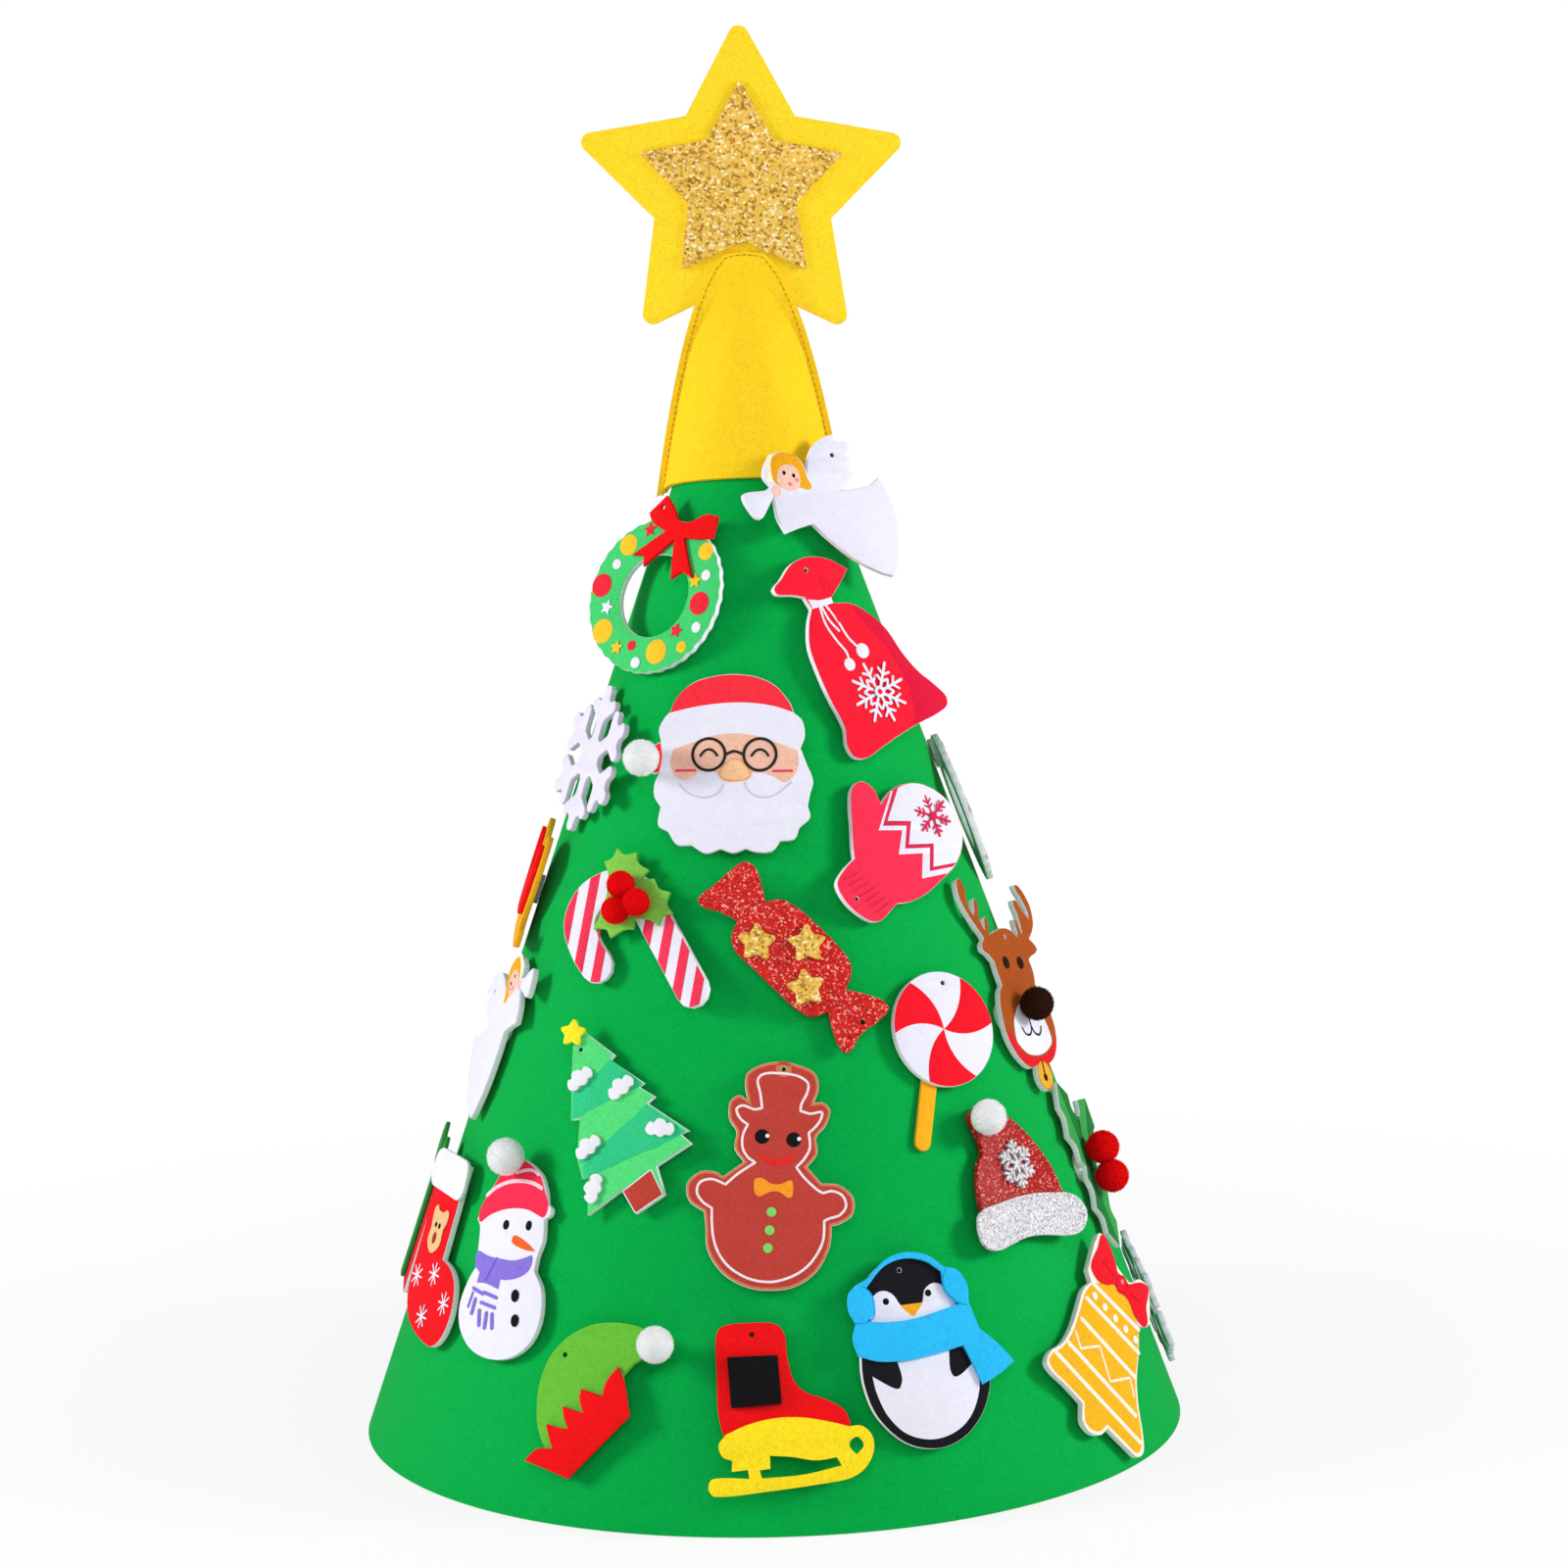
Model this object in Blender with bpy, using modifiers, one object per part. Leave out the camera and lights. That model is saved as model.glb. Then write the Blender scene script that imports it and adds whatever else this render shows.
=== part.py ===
"""Felt Christmas tree: a rolled green felt cone, a lift-off star topper and stick-on felt ornaments.

Metres, +Z up, the front faces -Y, the origin is the middle of the cone's foot on the floor.
"""
import math

import bmesh
import bpy
from mathutils import Matrix, Vector

COLLECTION = "felt_christmas_tree"
CUTTERS = "cutters"

# The cone
BASE_RADIUS = 0.207
APEX_HEIGHT = 0.582
TIP_OPENING_RADIUS = 0.0121
OPEN_TIP_HEIGHT = APEX_HEIGHT * (1 - TIP_OPENING_RADIUS / BASE_RADIUS)
CONE_FELT = 0.003
OVERLAP_DEGREES = 14
RAMP_DEGREES = 16
CONE_SEGMENTS = 90

# The hook tape between the two layers of the overlap
TAPE_THICKNESS = 0.0012
TAPE_DEGREES = 7
TAPE_FOOT_HEIGHT = 0.02
TAPE_TOP_HEIGHT = 0.44
TAPE_SEGMENTS = 4

# Gaps, and how far a cutter or a joined piece runs past the surface it works on
SEAT_GAP = 0.0003
OVERRUN = 0.0005
CUTTER_SIZE = 0.6
MERGE_SHARE = 0.02

# The topper: two stitched cap panels with a star between their tips
CAP_TIP_RISE = 0.008
CAP_TIP_HEIGHT = APEX_HEIGHT + CAP_TIP_RISE
CAP_LENGTH = 0.1215
CAP_HEM_RISE = 0.010
CAP_TIP_ROUND = 0.0025
CAP_TIP_FLAT = 0.0005
CAP_SEAM = 0.005
CAP_FELT = 0.0025
CAP_CLEARANCE = 0.0008
CAP_SIDE_ROOM = 0.0011
CAP_HEM_RADIUS = BASE_RADIUS * (1 - (CAP_TIP_HEIGHT - CAP_LENGTH) / APEX_HEIGHT)
CAP_HALF_WIDTH = CAP_HEM_RADIUS + CAP_SIDE_ROOM + CAP_SEAM
CAP_TIP_SEAM_SHARE = 0.4
CAP_WIDEST_SHARE = 0.995
CAP_NARROWEST_SHARE = 0.05
CAP_STAR_DEPTH = 0.030
CAP_SPREAD_LENGTH = 0.020
CAP_WIDTH_POWER = 0.42
CAP_ROW_POWER = 1.5
CAP_ROWS = 14
CAP_ARC_STEPS = 16
STAR_RISE = 0.0280
STAR_CENTRE_HEIGHT = CAP_TIP_HEIGHT + STAR_RISE
STAR_RADIUS = 0.088
STAR_NOTCH_SHARE = 0.52
STAR_ROUND = 0.005
STAR_FELT = 0.003
STAR_TURN_DEGREES = -1.5
GLITTER_STAR_RISE = 0.0024
GLITTER_STAR_RADIUS = 0.0528
GLITTER_STAR_NOTCH_SHARE = 0.53
GLITTER_STAR_ROUND = 0.001
GLITTER_FELT = 0.0012

# What every ornament shares
ORNAMENT_FELT = 0.003
TRIM_FELT = 0.002
DOT_THICKNESS = 0.003
DOT_RADIUS = 0.0075
DOT_SIDES = 14
PUNCH_RADIUS = 0.0012
PUNCH_SIDES = 8
CURVE_STEPS = 2

# Each ornament is drawn in a square of its own size
WREATH_SIZE = 0.100
ANGEL_SIZE = 0.100
SACK_SIZE = 0.100
SANTA_SIZE = 0.100
SNOWFLAKE_SIZE = 0.074
MITTEN_SIZE = 0.100
CANE_SIZE = 0.100
CANDY_SIZE = 0.100
LOLLIPOP_SIZE = 0.100
REINDEER_SIZE = 0.100
HAT_SIZE = 0.100
FIR_SIZE = 0.100
GINGERBREAD_SIZE = 0.100
STOCKING_SIZE = 0.100
GIFT_SIZE = 0.100
SNOWMAN_SIZE = 0.100
ELF_HAT_SIZE = 0.100
SKATE_SIZE = 0.100
PENGUIN_SIZE = 0.100
BELL_SIZE = 0.100
HOLLY_SIZE = 0.100
SECOND_SNOWFLAKE_SIZE = 0.074
SECOND_WREATH_SIZE = 0.100
SLEIGH_SIZE = 0.100
SECOND_ANGEL_SIZE = 0.100

# Round pieces that stand on the ornaments
SANTA_POMPOM_RADIUS = 0.0089
SNOWMAN_POMPOM_RADIUS = 0.0091
ELF_POMPOM_RADIUS = 0.0088
HAT_POMPOM_RADIUS = 0.0087
NOSE_RADIUS = 0.0085
BERRY_RADIUS = 0.007
HOLLY_BERRY_RADIUS = 0.0085
POMPOM_SIDES = 14
BERRY_SIDES = 12

# Third value of an outline point that is a sharp corner
C = 1

# Where the ornaments hang: degrees round the cone from the front, and in shares the height of the
# drawing's middle on the cone, its shift to the side of the hook dot, and the dot's and the punched
# hole's places in the drawing
PLACE_SHARES = {
    "wreath": (-38, 0.728, -0.108, 0.255, None),
    "angel": (28, 0.793, 0.130, 0.185, (0.097, 0.25)),
    "sack": (36, 0.669, 0.113, 0.060, (-0.22, 0.455)),
    "santa": (-5, 0.589, -0.055, 0.000, (0.02, 0.38)),
    "snowflake": (-66, 0.587, 0.030, 0.000, None),
    "mitten": (36, 0.509, 0.071, -0.020, (-0.33, -0.185)),
    "cane": (-28, 0.455, -0.095, 0.110, None),
    "candy": (8, 0.436, -0.016, 0.000, (0.30, -0.325)),
    "lollipop": (32, 0.343, 0.100, 0.220, (0.11, 0.38)),
    "reindeer": (62, 0.388, 0.090, -0.140, (0.114, 0.226)),
    "hat": (46, 0.239, 0.110, 0.000, None),
    "fir": (-24, 0.308, -0.049, 0.000, (-0.30, 0.33)),
    "gingerbread": (2, 0.267, -0.027, -0.200, (0.065, 0.515)),
    "stocking": (-63, 0.179, -0.101, -0.230, None),
    "gift": (-86, 0.196, -0.040, -0.050, None),
    "snowman": (-42, 0.197, -0.150, -0.250, None),
    "elf_hat": (-27, 0.095, 0.022, 0.180, (-0.17, 0.20)),
    "skate": (3, 0.093, -0.032, -0.015, (-0.16, 0.355)),
    "penguin": (20, 0.127, 0.059, -0.150, (-0.05, 0.395)),
    "bell": (52, 0.095, 0.132, -0.060, None),
    "holly": (74, 0.224, 0.000, 0.020, None),
    "second_snowflake": (95, 0.083, 0.000, 0.000, None),
    "second_wreath": (93, 0.527, 0.000, 0.305, None),
    "sleigh": (-88, 0.479, 0.000, -0.060, None),
    "second_angel": (-72, 0.362, 0.000, 0.000, None),
}

RED = (0.75, 0.01, 0.02)
PRINT_RED = (0.85, 0.03, 0.06)
WHITE = (0.86, 0.86, 0.90)
GREEN = (0.01, 0.42, 0.07)
LIGHT_GREEN = (0.20, 0.55, 0.06)
YELLOW = (0.95, 0.66, 0.02)
ORANGE_YELLOW = (0.93, 0.50, 0.03)
BLUE = (0.03, 0.50, 0.90)
BLACK = (0.012, 0.012, 0.014)
BROWN = (0.42, 0.06, 0.04)
DEER_BROWN = (0.30, 0.07, 0.01)
GOLD = (0.75, 0.50, 0.12)
SILVER = (0.70, 0.70, 0.72)
DARK_BROWN = (0.05, 0.02, 0.01)

WREATH_BOW_SHARES = (
    (0.07, 0.35), (0.03, 0.41), (-0.03, 0.47, C), (-0.12, 0.38, C), (-0.09, 0.335), (0.00, 0.29, C),
    (-0.18, 0.165, C), (-0.105, 0.165, C), (-0.095, 0.11, C), (0.00, 0.19), (0.065, 0.25, C),
    (0.09, 0.05, C), (0.15, 0.09, C), (0.22, 0.06, C), (0.17, 0.16), (0.125, 0.26, C),
    (0.20, 0.255), (0.30, 0.26, C), (0.31, 0.37, C), (0.24, 0.38), (0.14, 0.34),
)
ANGEL_SHARES = (
    (0.12, 0.355, C), (0.13, 0.315, C), (0.18, 0.315), (0.20, 0.285), (0.165, 0.245, C), (0.195, 0.215),
    (0.17, 0.175, C), (0.19, 0.145), (0.15, 0.105, C), (0.13, 0.075), (0.09, 0.065, C), (0.20, 0.075),
    (0.28, 0.09), (0.33, 0.12, C), (0.365, 0.04), (0.385, -0.09), (0.375, -0.20), (0.35, -0.30),
    (0.31, -0.38, C), (0.24, -0.355), (0.12, -0.285), (0.00, -0.18), (-0.08, -0.09, C), (-0.15, -0.105),
    (-0.235, -0.13, C), (-0.265, -0.05), (-0.265, 0.06, C), (-0.31, 0.00), (-0.355, -0.05), (-0.385, -0.04),
    (-0.425, 0.03), (-0.43, 0.075), (-0.40, 0.085), (-0.31, 0.09), (-0.27, 0.11, C), (-0.30, 0.16),
    (-0.28, 0.22), (-0.24, 0.265), (-0.17, 0.28), (-0.10, 0.25), (-0.07, 0.20), (-0.06, 0.165, C),
    (-0.04, 0.235), (0.00, 0.30), (0.06, 0.34),
)
SACK_SHARES = (
    (-0.44, 0.36, C), (-0.38, 0.42), (-0.30, 0.49), (-0.20, 0.52), (-0.08, 0.505), (0.03, 0.445, C),
    (-0.03, 0.38), (-0.11, 0.305, C), (-0.105, 0.28, C), (0.00, 0.27), (0.10, 0.21), (0.18, 0.12),
    (0.24, 0.00), (0.31, -0.10), (0.38, -0.165), (0.445, -0.235), (0.44, -0.285), (0.36, -0.325),
    (0.24, -0.36), (0.10, -0.41), (-0.02, -0.46), (-0.12, -0.50), (-0.19, -0.49), (-0.22, -0.43),
    (-0.21, -0.34), (-0.26, -0.18), (-0.29, -0.05), (-0.305, 0.07), (-0.28, 0.18), (-0.24, 0.26, C),
    (-0.265, 0.315, C), (-0.35, 0.335),
)
SANTA_SHARES = (
    (-0.29, 0.26, C), (-0.25, 0.34), (-0.17, 0.41), (-0.06, 0.44), (0.03, 0.445), (0.13, 0.43),
    (0.22, 0.385), (0.29, 0.30), (0.31, 0.25, C), (0.35, 0.21), (0.36, 0.14), (0.34, 0.08, C),
    (0.37, 0.00), (0.40, -0.08), (0.385, -0.15), (0.375, -0.20, C), (0.385, -0.26), (0.335, -0.31, C),
    (0.31, -0.365), (0.245, -0.375, C), (0.20, -0.425), (0.12, -0.425), (0.08, -0.41, C), (0.02, -0.43),
    (-0.04, -0.41, C), (-0.11, -0.43), (-0.18, -0.39, C), (-0.25, -0.385), (-0.295, -0.32, C),
    (-0.34, -0.29), (-0.33, -0.20, C), (-0.36, -0.15), (-0.36, -0.09), (-0.335, -0.03, C), (-0.37, -0.035),
    (-0.41, 0.02), (-0.39, 0.08), (-0.33, 0.12, C), (-0.34, 0.18), (-0.31, 0.24),
)
SANTA_POMPOM_SHARES = (-0.415, 0.02)
FLAKE_SHARES = (0.10, 0.52, 0.72, 0.30)
FLAKE_TIP_PLACE_SHARE = 0.55
FLAKE_TIP_REACH_SHARE = 1.22
FLAKE_SHOULDER_SHARE = 0.95
MITTEN_SHARES = (
    (-0.29, 0.01, C), (-0.37, -0.04), (-0.425, -0.10), (-0.405, -0.18), (-0.35, -0.25), (-0.28, -0.30),
    (-0.22, -0.305), (-0.15, -0.265), (-0.10, -0.235, C), (-0.02, -0.235), (0.08, -0.21), (0.20, -0.15),
    (0.30, -0.09), (0.37, 0.00), (0.39, 0.10), (0.37, 0.19), (0.31, 0.27), (0.22, 0.325), (0.13, 0.34),
    (0.03, 0.32), (-0.06, 0.255, C), (-0.075, 0.32), (-0.12, 0.37), (-0.17, 0.375), (-0.215, 0.34),
    (-0.24, 0.27), (-0.26, 0.17), (-0.28, 0.08),
)
CANE_PATH_SHARES = (
    (-0.145, -0.175), (-0.22, -0.09), (-0.275, 0.03), (-0.235, 0.15), (-0.12, 0.215), (0.00, 0.20),
    (0.09, 0.12), (0.15, 0.045), (0.39, -0.26),
)
CANE_WIDTH_SHARE = 0.17
CANE_HOLLY_SHARES = (
    (-0.17, 0.33, C), (-0.13, 0.35), (-0.11, 0.40, C), (-0.06, 0.37), (0.00, 0.385, C), (0.015, 0.335),
    (0.08, 0.30, C), (0.04, 0.255, C), (0.11, 0.26, C), (0.145, 0.215), (0.21, 0.20, C), (0.20, 0.145),
    (0.24, 0.10, C), (0.185, 0.08), (0.17, 0.035, C), (0.12, 0.06), (0.035, 0.065, C), (0.04, 0.01, C),
    (-0.01, 0.005), (-0.08, -0.04, C), (-0.11, 0.00), (-0.18, 0.00, C), (-0.16, 0.05), (-0.15, 0.10, C),
    (-0.13, 0.19), (-0.14, 0.27),
)
CANE_BERRY_SHARES = ((-0.02, 0.21), (0.075, 0.13), (-0.03, 0.085))
CANDY_SHARES = (
    (-0.44, 0.31), (-0.355, 0.375), (-0.26, 0.45), (-0.20, 0.475), (-0.155, 0.44), (-0.135, 0.36),
    (-0.12, 0.275, C), (-0.05, 0.285), (0.03, 0.24), (0.12, 0.15), (0.20, 0.06), (0.26, -0.03),
    (0.26, -0.10), (0.23, -0.165, C), (0.32, -0.19), (0.40, -0.225), (0.43, -0.265), (0.38, -0.32),
    (0.29, -0.38), (0.24, -0.45), (0.205, -0.465), (0.17, -0.41), (0.15, -0.33), (0.14, -0.265, C),
    (0.06, -0.285), (-0.02, -0.235), (-0.10, -0.15), (-0.20, -0.04), (-0.28, 0.05), (-0.295, 0.12),
    (-0.26, 0.195, C), (-0.34, 0.24), (-0.42, 0.27),
)
CANDY_STAR_SHARES = ((-0.18, 0.08), (0.06, 0.06), (0.04, -0.15))
CANDY_STAR_TURNS_DEGREES = (-6, 0, 6)
CANDY_STAR_RADIUS_SHARE = 0.104
SMALL_STAR_NOTCH_SHARE = 0.55
SMALL_STAR_ROUND_SHARE = 0.012
DISC_CENTRE_SHARES = (0.06, 0.16)
DISC_RADIUS_SHARE = 0.28
DISC_SIDES = 40
STICK_SHARES = ((-0.015, 0.04), (-0.17, -0.355))
STICK_WIDTH_SHARE = 0.085
REINDEER_SHARES = (
    (-0.044, 0.264, C), (-0.02, 0.305), (-0.01, 0.336), (-0.024, 0.352), (-0.04, 0.345), (-0.058, 0.31),
    (-0.07, 0.293, C), (-0.085, 0.315), (-0.092, 0.355), (-0.085, 0.373), (-0.06, 0.405), (-0.054, 0.43),
    (-0.07, 0.456), (-0.09, 0.44), (-0.115, 0.395), (-0.135, 0.382, C), (-0.156, 0.41), (-0.159, 0.453),
    (-0.138, 0.52), (-0.145, 0.565), (-0.17, 0.573), (-0.195, 0.56), (-0.217, 0.51), (-0.214, 0.453),
    (-0.183, 0.381), (-0.15, 0.326), (-0.111, 0.264), (-0.11, 0.253, C), (-0.15, 0.233), (-0.159, 0.205),
    (-0.12, 0.175), (-0.083, 0.134, C), (-0.086, 0.076), (-0.085, 0.012, C), (-0.128, -0.013),
    (-0.167, -0.065), (-0.19, -0.125), (-0.206, -0.19), (-0.206, -0.247), (-0.183, -0.313),
    (-0.139, -0.374), (-0.072, -0.419), (-0.005, -0.42, C), (-0.02, -0.446), (-0.03, -0.49),
    (-0.012, -0.53), (0.042, -0.56), (0.096, -0.534), (0.123, -0.48), (0.125, -0.439, C), (0.19, -0.426),
    (0.25, -0.392), (0.295, -0.34), (0.32, -0.28), (0.325, -0.22), (0.32, -0.16), (0.30, -0.10),
    (0.265, -0.05, C), (0.282, -0.015), (0.291, 0.03), (0.286, 0.076, C), (0.32, 0.086), (0.38, 0.094),
    (0.414, 0.11), (0.40, 0.14), (0.367, 0.172, C), (0.428, 0.203), (0.467, 0.237), (0.489, 0.287),
    (0.494, 0.331), (0.472, 0.398), (0.435, 0.443), (0.40, 0.448), (0.402, 0.42), (0.43, 0.365),
    (0.448, 0.30), (0.438, 0.266, C), (0.415, 0.288), (0.383, 0.335), (0.365, 0.374), (0.335, 0.38),
    (0.323, 0.36), (0.33, 0.30), (0.318, 0.225), (0.305, 0.21, C), (0.298, 0.25), (0.293, 0.285),
    (0.275, 0.29), (0.268, 0.26), (0.26, 0.215), (0.24, 0.205, C), (0.194, 0.248), (0.139, 0.267),
    (0.072, 0.274), (0.006, 0.267),
)
NOSE_SHARES = (0.035, -0.132)
HAT_SHARES = (
    (-0.385, -0.20), (-0.36, -0.255), (-0.28, -0.265), (-0.12, -0.245), (0.00, -0.255), (0.13, -0.28),
    (0.25, -0.29), (0.305, -0.26), (0.315, -0.205), (0.28, -0.145), (0.22, -0.094, C), (0.198, 0.006),
    (0.164, 0.089), (0.109, 0.183), (0.042, 0.267), (-0.03, 0.333), (-0.12, 0.39), (-0.21, 0.405),
    (-0.28, 0.365), (-0.265, 0.28), (-0.258, 0.19), (-0.308, 0.139), (-0.347, 0.06), (-0.363, -0.017),
    (-0.37, -0.08, C), (-0.385, -0.13),
)
HAT_BRIM_SHARES = (
    (-0.454, -0.172), (-0.44, -0.117), (-0.415, -0.089), (-0.365, -0.072), (-0.275, -0.067),
    (-0.154, -0.061), (-0.009, -0.067), (0.135, -0.089), (0.235, -0.111), (0.296, -0.15), (0.326, -0.206),
    (0.319, -0.244), (0.28, -0.289), (0.213, -0.311), (0.113, -0.30), (-0.009, -0.272), (-0.131, -0.259),
    (-0.242, -0.27), (-0.342, -0.281), (-0.409, -0.267), (-0.448, -0.228),
)
HAT_FLAKE_SHARES = (-0.066, 0.09)
HAT_FLAKE_RADIUS_SHARE = 0.112
HAT_POMPOM_SHARES = (-0.25, 0.34)
FIR_SHARES = (
    (-0.35, 0.44, C), (-0.30, 0.42, C), (-0.12, 0.315, C), (-0.14, 0.29, C), (0.05, 0.19, C),
    (0.025, 0.17, C), (0.115, 0.13, C), (0.08, 0.095, C), (0.31, -0.02, C), (0.27, -0.04, C),
    (0.33, -0.08, C), (0.165, -0.20, C), (0.225, -0.33, C), (0.09, -0.43, C), (0.02, -0.31, C),
    (-0.16, -0.455, C), (-0.18, -0.26, C), (-0.21, -0.285, C), (-0.25, -0.19, C), (-0.26, 0.00, C),
    (-0.305, -0.01, C), (-0.33, 0.20, C),
)
FIR_STAR_SHARES = (-0.342, 0.405)
FIR_STAR_RADIUS_SHARE = 0.078
PUFF_SHARES = (
    (-0.065, -0.005), (-0.05, 0.024), (-0.032, 0.02, C), (-0.015, 0.043), (0.015, 0.038), (0.024, 0.024, C),
    (0.047, 0.033), (0.065, 0.005), (0.052, -0.022), (0.031, -0.02, C), (0.009, -0.036),
    (-0.015, -0.027, C), (-0.038, -0.034), (-0.061, -0.022),
)
PUFF_PLACE_SHARES = (
    (-0.278, 0.188, 38), (-0.058, 0.16, 38), (0.17, -0.022, -5), (-0.192, -0.134, 38), (-0.138, -0.327, 72),
)
GINGERBREAD_SHARES = (
    (-0.11, 0.50), (-0.04, 0.54), (0.05, 0.55), (0.14, 0.53), (0.21, 0.49), (0.225, 0.42), (0.20, 0.35, C),
    (0.245, 0.35), (0.275, 0.31), (0.25, 0.24), (0.205, 0.19), (0.205, 0.11), (0.155, 0.05, C),
    (0.22, -0.03, C), (0.30, -0.04), (0.365, -0.10), (0.36, -0.18), (0.30, -0.22), (0.26, -0.23, C),
    (0.245, -0.33), (0.18, -0.44), (0.08, -0.505), (-0.03, -0.52), (-0.15, -0.50), (-0.26, -0.43),
    (-0.325, -0.32), (-0.33, -0.20), (-0.335, -0.14, C), (-0.40, -0.09), (-0.41, -0.01), (-0.35, 0.045),
    (-0.28, 0.045), (-0.24, 0.02, C), (-0.14, 0.085, C), (-0.18, 0.15), (-0.17, 0.23), (-0.20, 0.29),
    (-0.195, 0.37), (-0.15, 0.40), (-0.11, 0.375, C), (-0.12, 0.44),
)
STOCKING_SHARES = (
    (-0.26, 0.45, C), (0.035, 0.43, C), (0.04, 0.10, C), (0.04, -0.04, C), (0.155, -0.065), (0.245, -0.125),
    (0.293, -0.25), (0.275, -0.365), (0.21, -0.438), (0.12, -0.456), (-0.08, -0.417), (-0.185, -0.355),
    (-0.248, -0.26), (-0.262, -0.12),
)
CUFF_SHARES = ((-0.29, 0.47), (0.10, 0.455), (0.13, 0.25), (-0.29, 0.275))
CUFF_ROUND_SHARE = 0.065
GIFT_SHARES = ((-0.30, 0.20), (0.30, 0.20), (0.30, -0.42), (-0.30, -0.42))
GIFT_ROUND_SHARE = 0.03
GIFT_BOW_SHARES = (
    (0.00, 0.24), (0.07, 0.30), (0.17, 0.38), (0.25, 0.34), (0.26, 0.24), (0.18, 0.17), (0.06, 0.18, C),
    (0.05, -0.40, C), (-0.05, -0.40, C), (-0.06, 0.18, C), (-0.18, 0.17), (-0.26, 0.24), (-0.25, 0.34),
    (-0.17, 0.38), (-0.07, 0.30),
)
SNOWMAN_SHARES = (
    (-0.235, 0.12, C), (-0.22, 0.20), (-0.17, 0.30), (-0.125, 0.385), (-0.06, 0.445), (-0.01, 0.44),
    (0.03, 0.43), (0.078, 0.41), (0.13, 0.375), (0.18, 0.30), (0.195, 0.255, C),
    (0.23, 0.235), (0.23, 0.20), (0.20, 0.18, C),
    (0.22, 0.08), (0.205, 0.00), (0.205, -0.07, C), (0.275, -0.15), (0.305, -0.28), (0.275, -0.40),
    (0.18, -0.485), (0.04, -0.52), (-0.10, -0.495), (-0.20, -0.41), (-0.235, -0.30), (-0.21, -0.17),
    (-0.17, -0.09, C), (-0.185, -0.05), (-0.195, 0.02), (-0.21, 0.09),
)
SNOWMAN_POMPOM_SHARES = (-0.044, 0.436)
ELF_HAT_SHARES = (
    (-0.20, -0.26, C), (-0.26, -0.16), (-0.285, -0.05), (-0.285, 0.06), (-0.245, 0.19), (-0.16, 0.29),
    (-0.04, 0.355), (0.10, 0.375), (0.22, 0.36), (0.36, 0.295), (0.28, 0.245), (0.20, 0.195), (0.145, 0.13, C),
    (0.19, -0.04, C), (-0.05, -0.33, C),
)
ELF_BRIM_SHARES = (
    (-0.30, -0.31, C), (-0.24, -0.25), (-0.16, -0.24, C), (-0.19, -0.18), (-0.21, -0.13, C), (-0.14, -0.14),
    (-0.09, -0.14, C), (-0.12, -0.09), (-0.135, -0.04, C), (-0.08, -0.05), (-0.02, -0.06, C), (-0.05, 0.00),
    (-0.05, 0.05, C), (0.01, 0.04), (0.065, 0.025, C), (0.08, 0.10), (0.13, 0.17, C), (0.17, 0.10),
    (0.22, -0.05, C), (-0.06, -0.37, C), (-0.17, -0.34),
)
ELF_POMPOM_SHARES = (0.345, 0.288)
SKATE_SHARES = (
    (-0.325, 0.36), (-0.29, 0.40), (-0.16, 0.41), (-0.05, 0.40), (-0.01, 0.355), (0.00, 0.25),
    (0.025, 0.14), (0.08, 0.08), (0.18, 0.04), (0.255, -0.01), (0.28, -0.07, C), (0.26, -0.14, C),
    (-0.30, -0.15, C), (-0.33, 0.00), (-0.33, 0.18),
)
SKATE_PATCH_SHARES = ((-0.28, 0.255), (-0.045, 0.255), (-0.035, 0.03), (-0.27, 0.02))
BLADE_SHARES = (
    (-0.30, -0.10, C), (-0.20, -0.06), (-0.08, -0.035), (0.05, -0.035), (0.18, -0.06), (0.27, -0.085, C),
    (0.33, -0.085), (0.375, -0.13), (0.38, -0.20), (0.34, -0.275), (0.27, -0.32), (0.15, -0.34),
    (-0.10, -0.365), (-0.36, -0.38), (-0.39, -0.345), (-0.37, -0.30), (-0.20, -0.305, C),
    (-0.205, -0.265, C), (-0.28, -0.27, C), (-0.275, -0.22, C), (-0.32, -0.20), (-0.335, -0.145),
)
BLADE_SLOT_SHARES = (
    (-0.155, -0.265, C), (-0.105, -0.26, C), (-0.105, -0.20, C), (0.00, -0.21), (0.11, -0.23),
    (0.21, -0.22, C), (0.235, -0.265, C), (0.05, -0.30), (-0.145, -0.31, C),
)
BLADE_HOLE_SHARES = ((0.30, -0.215, C), (0.335, -0.175), (0.31, -0.135), (0.275, -0.15), (0.27, -0.18))
PENGUIN_SHARES = (
    (-0.27, 0.16, C), (-0.27, 0.26), (-0.22, 0.36), (-0.12, 0.44), (-0.02, 0.465), (0.09, 0.44),
    (0.18, 0.37), (0.23, 0.28), (0.25, 0.17, C), (0.29, 0.05), (0.32, -0.08), (0.32, -0.18),
    (0.26, -0.31), (0.15, -0.41), (0.01, -0.445), (-0.14, -0.40), (-0.26, -0.27), (-0.305, -0.12),
    (-0.30, 0.02),
)
SCARF_SHARES = (
    (-0.31, 0.17, C), (-0.335, 0.235), (-0.325, 0.31), (-0.28, 0.35, C), (-0.22, 0.375), (-0.12, 0.45),
    (-0.02, 0.475), (0.09, 0.45), (0.17, 0.385, C), (0.23, 0.365), (0.27, 0.29), (0.265, 0.205, C),
    (0.30, 0.08, C), (0.38, 0.00), (0.45, -0.09, C), (0.37, -0.14), (0.275, -0.18, C), (0.24, -0.08),
    (0.205, 0.01, C), (0.08, -0.01), (-0.08, -0.025), (-0.22, -0.015), (-0.32, 0.02, C), (-0.335, 0.10),
)
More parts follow.
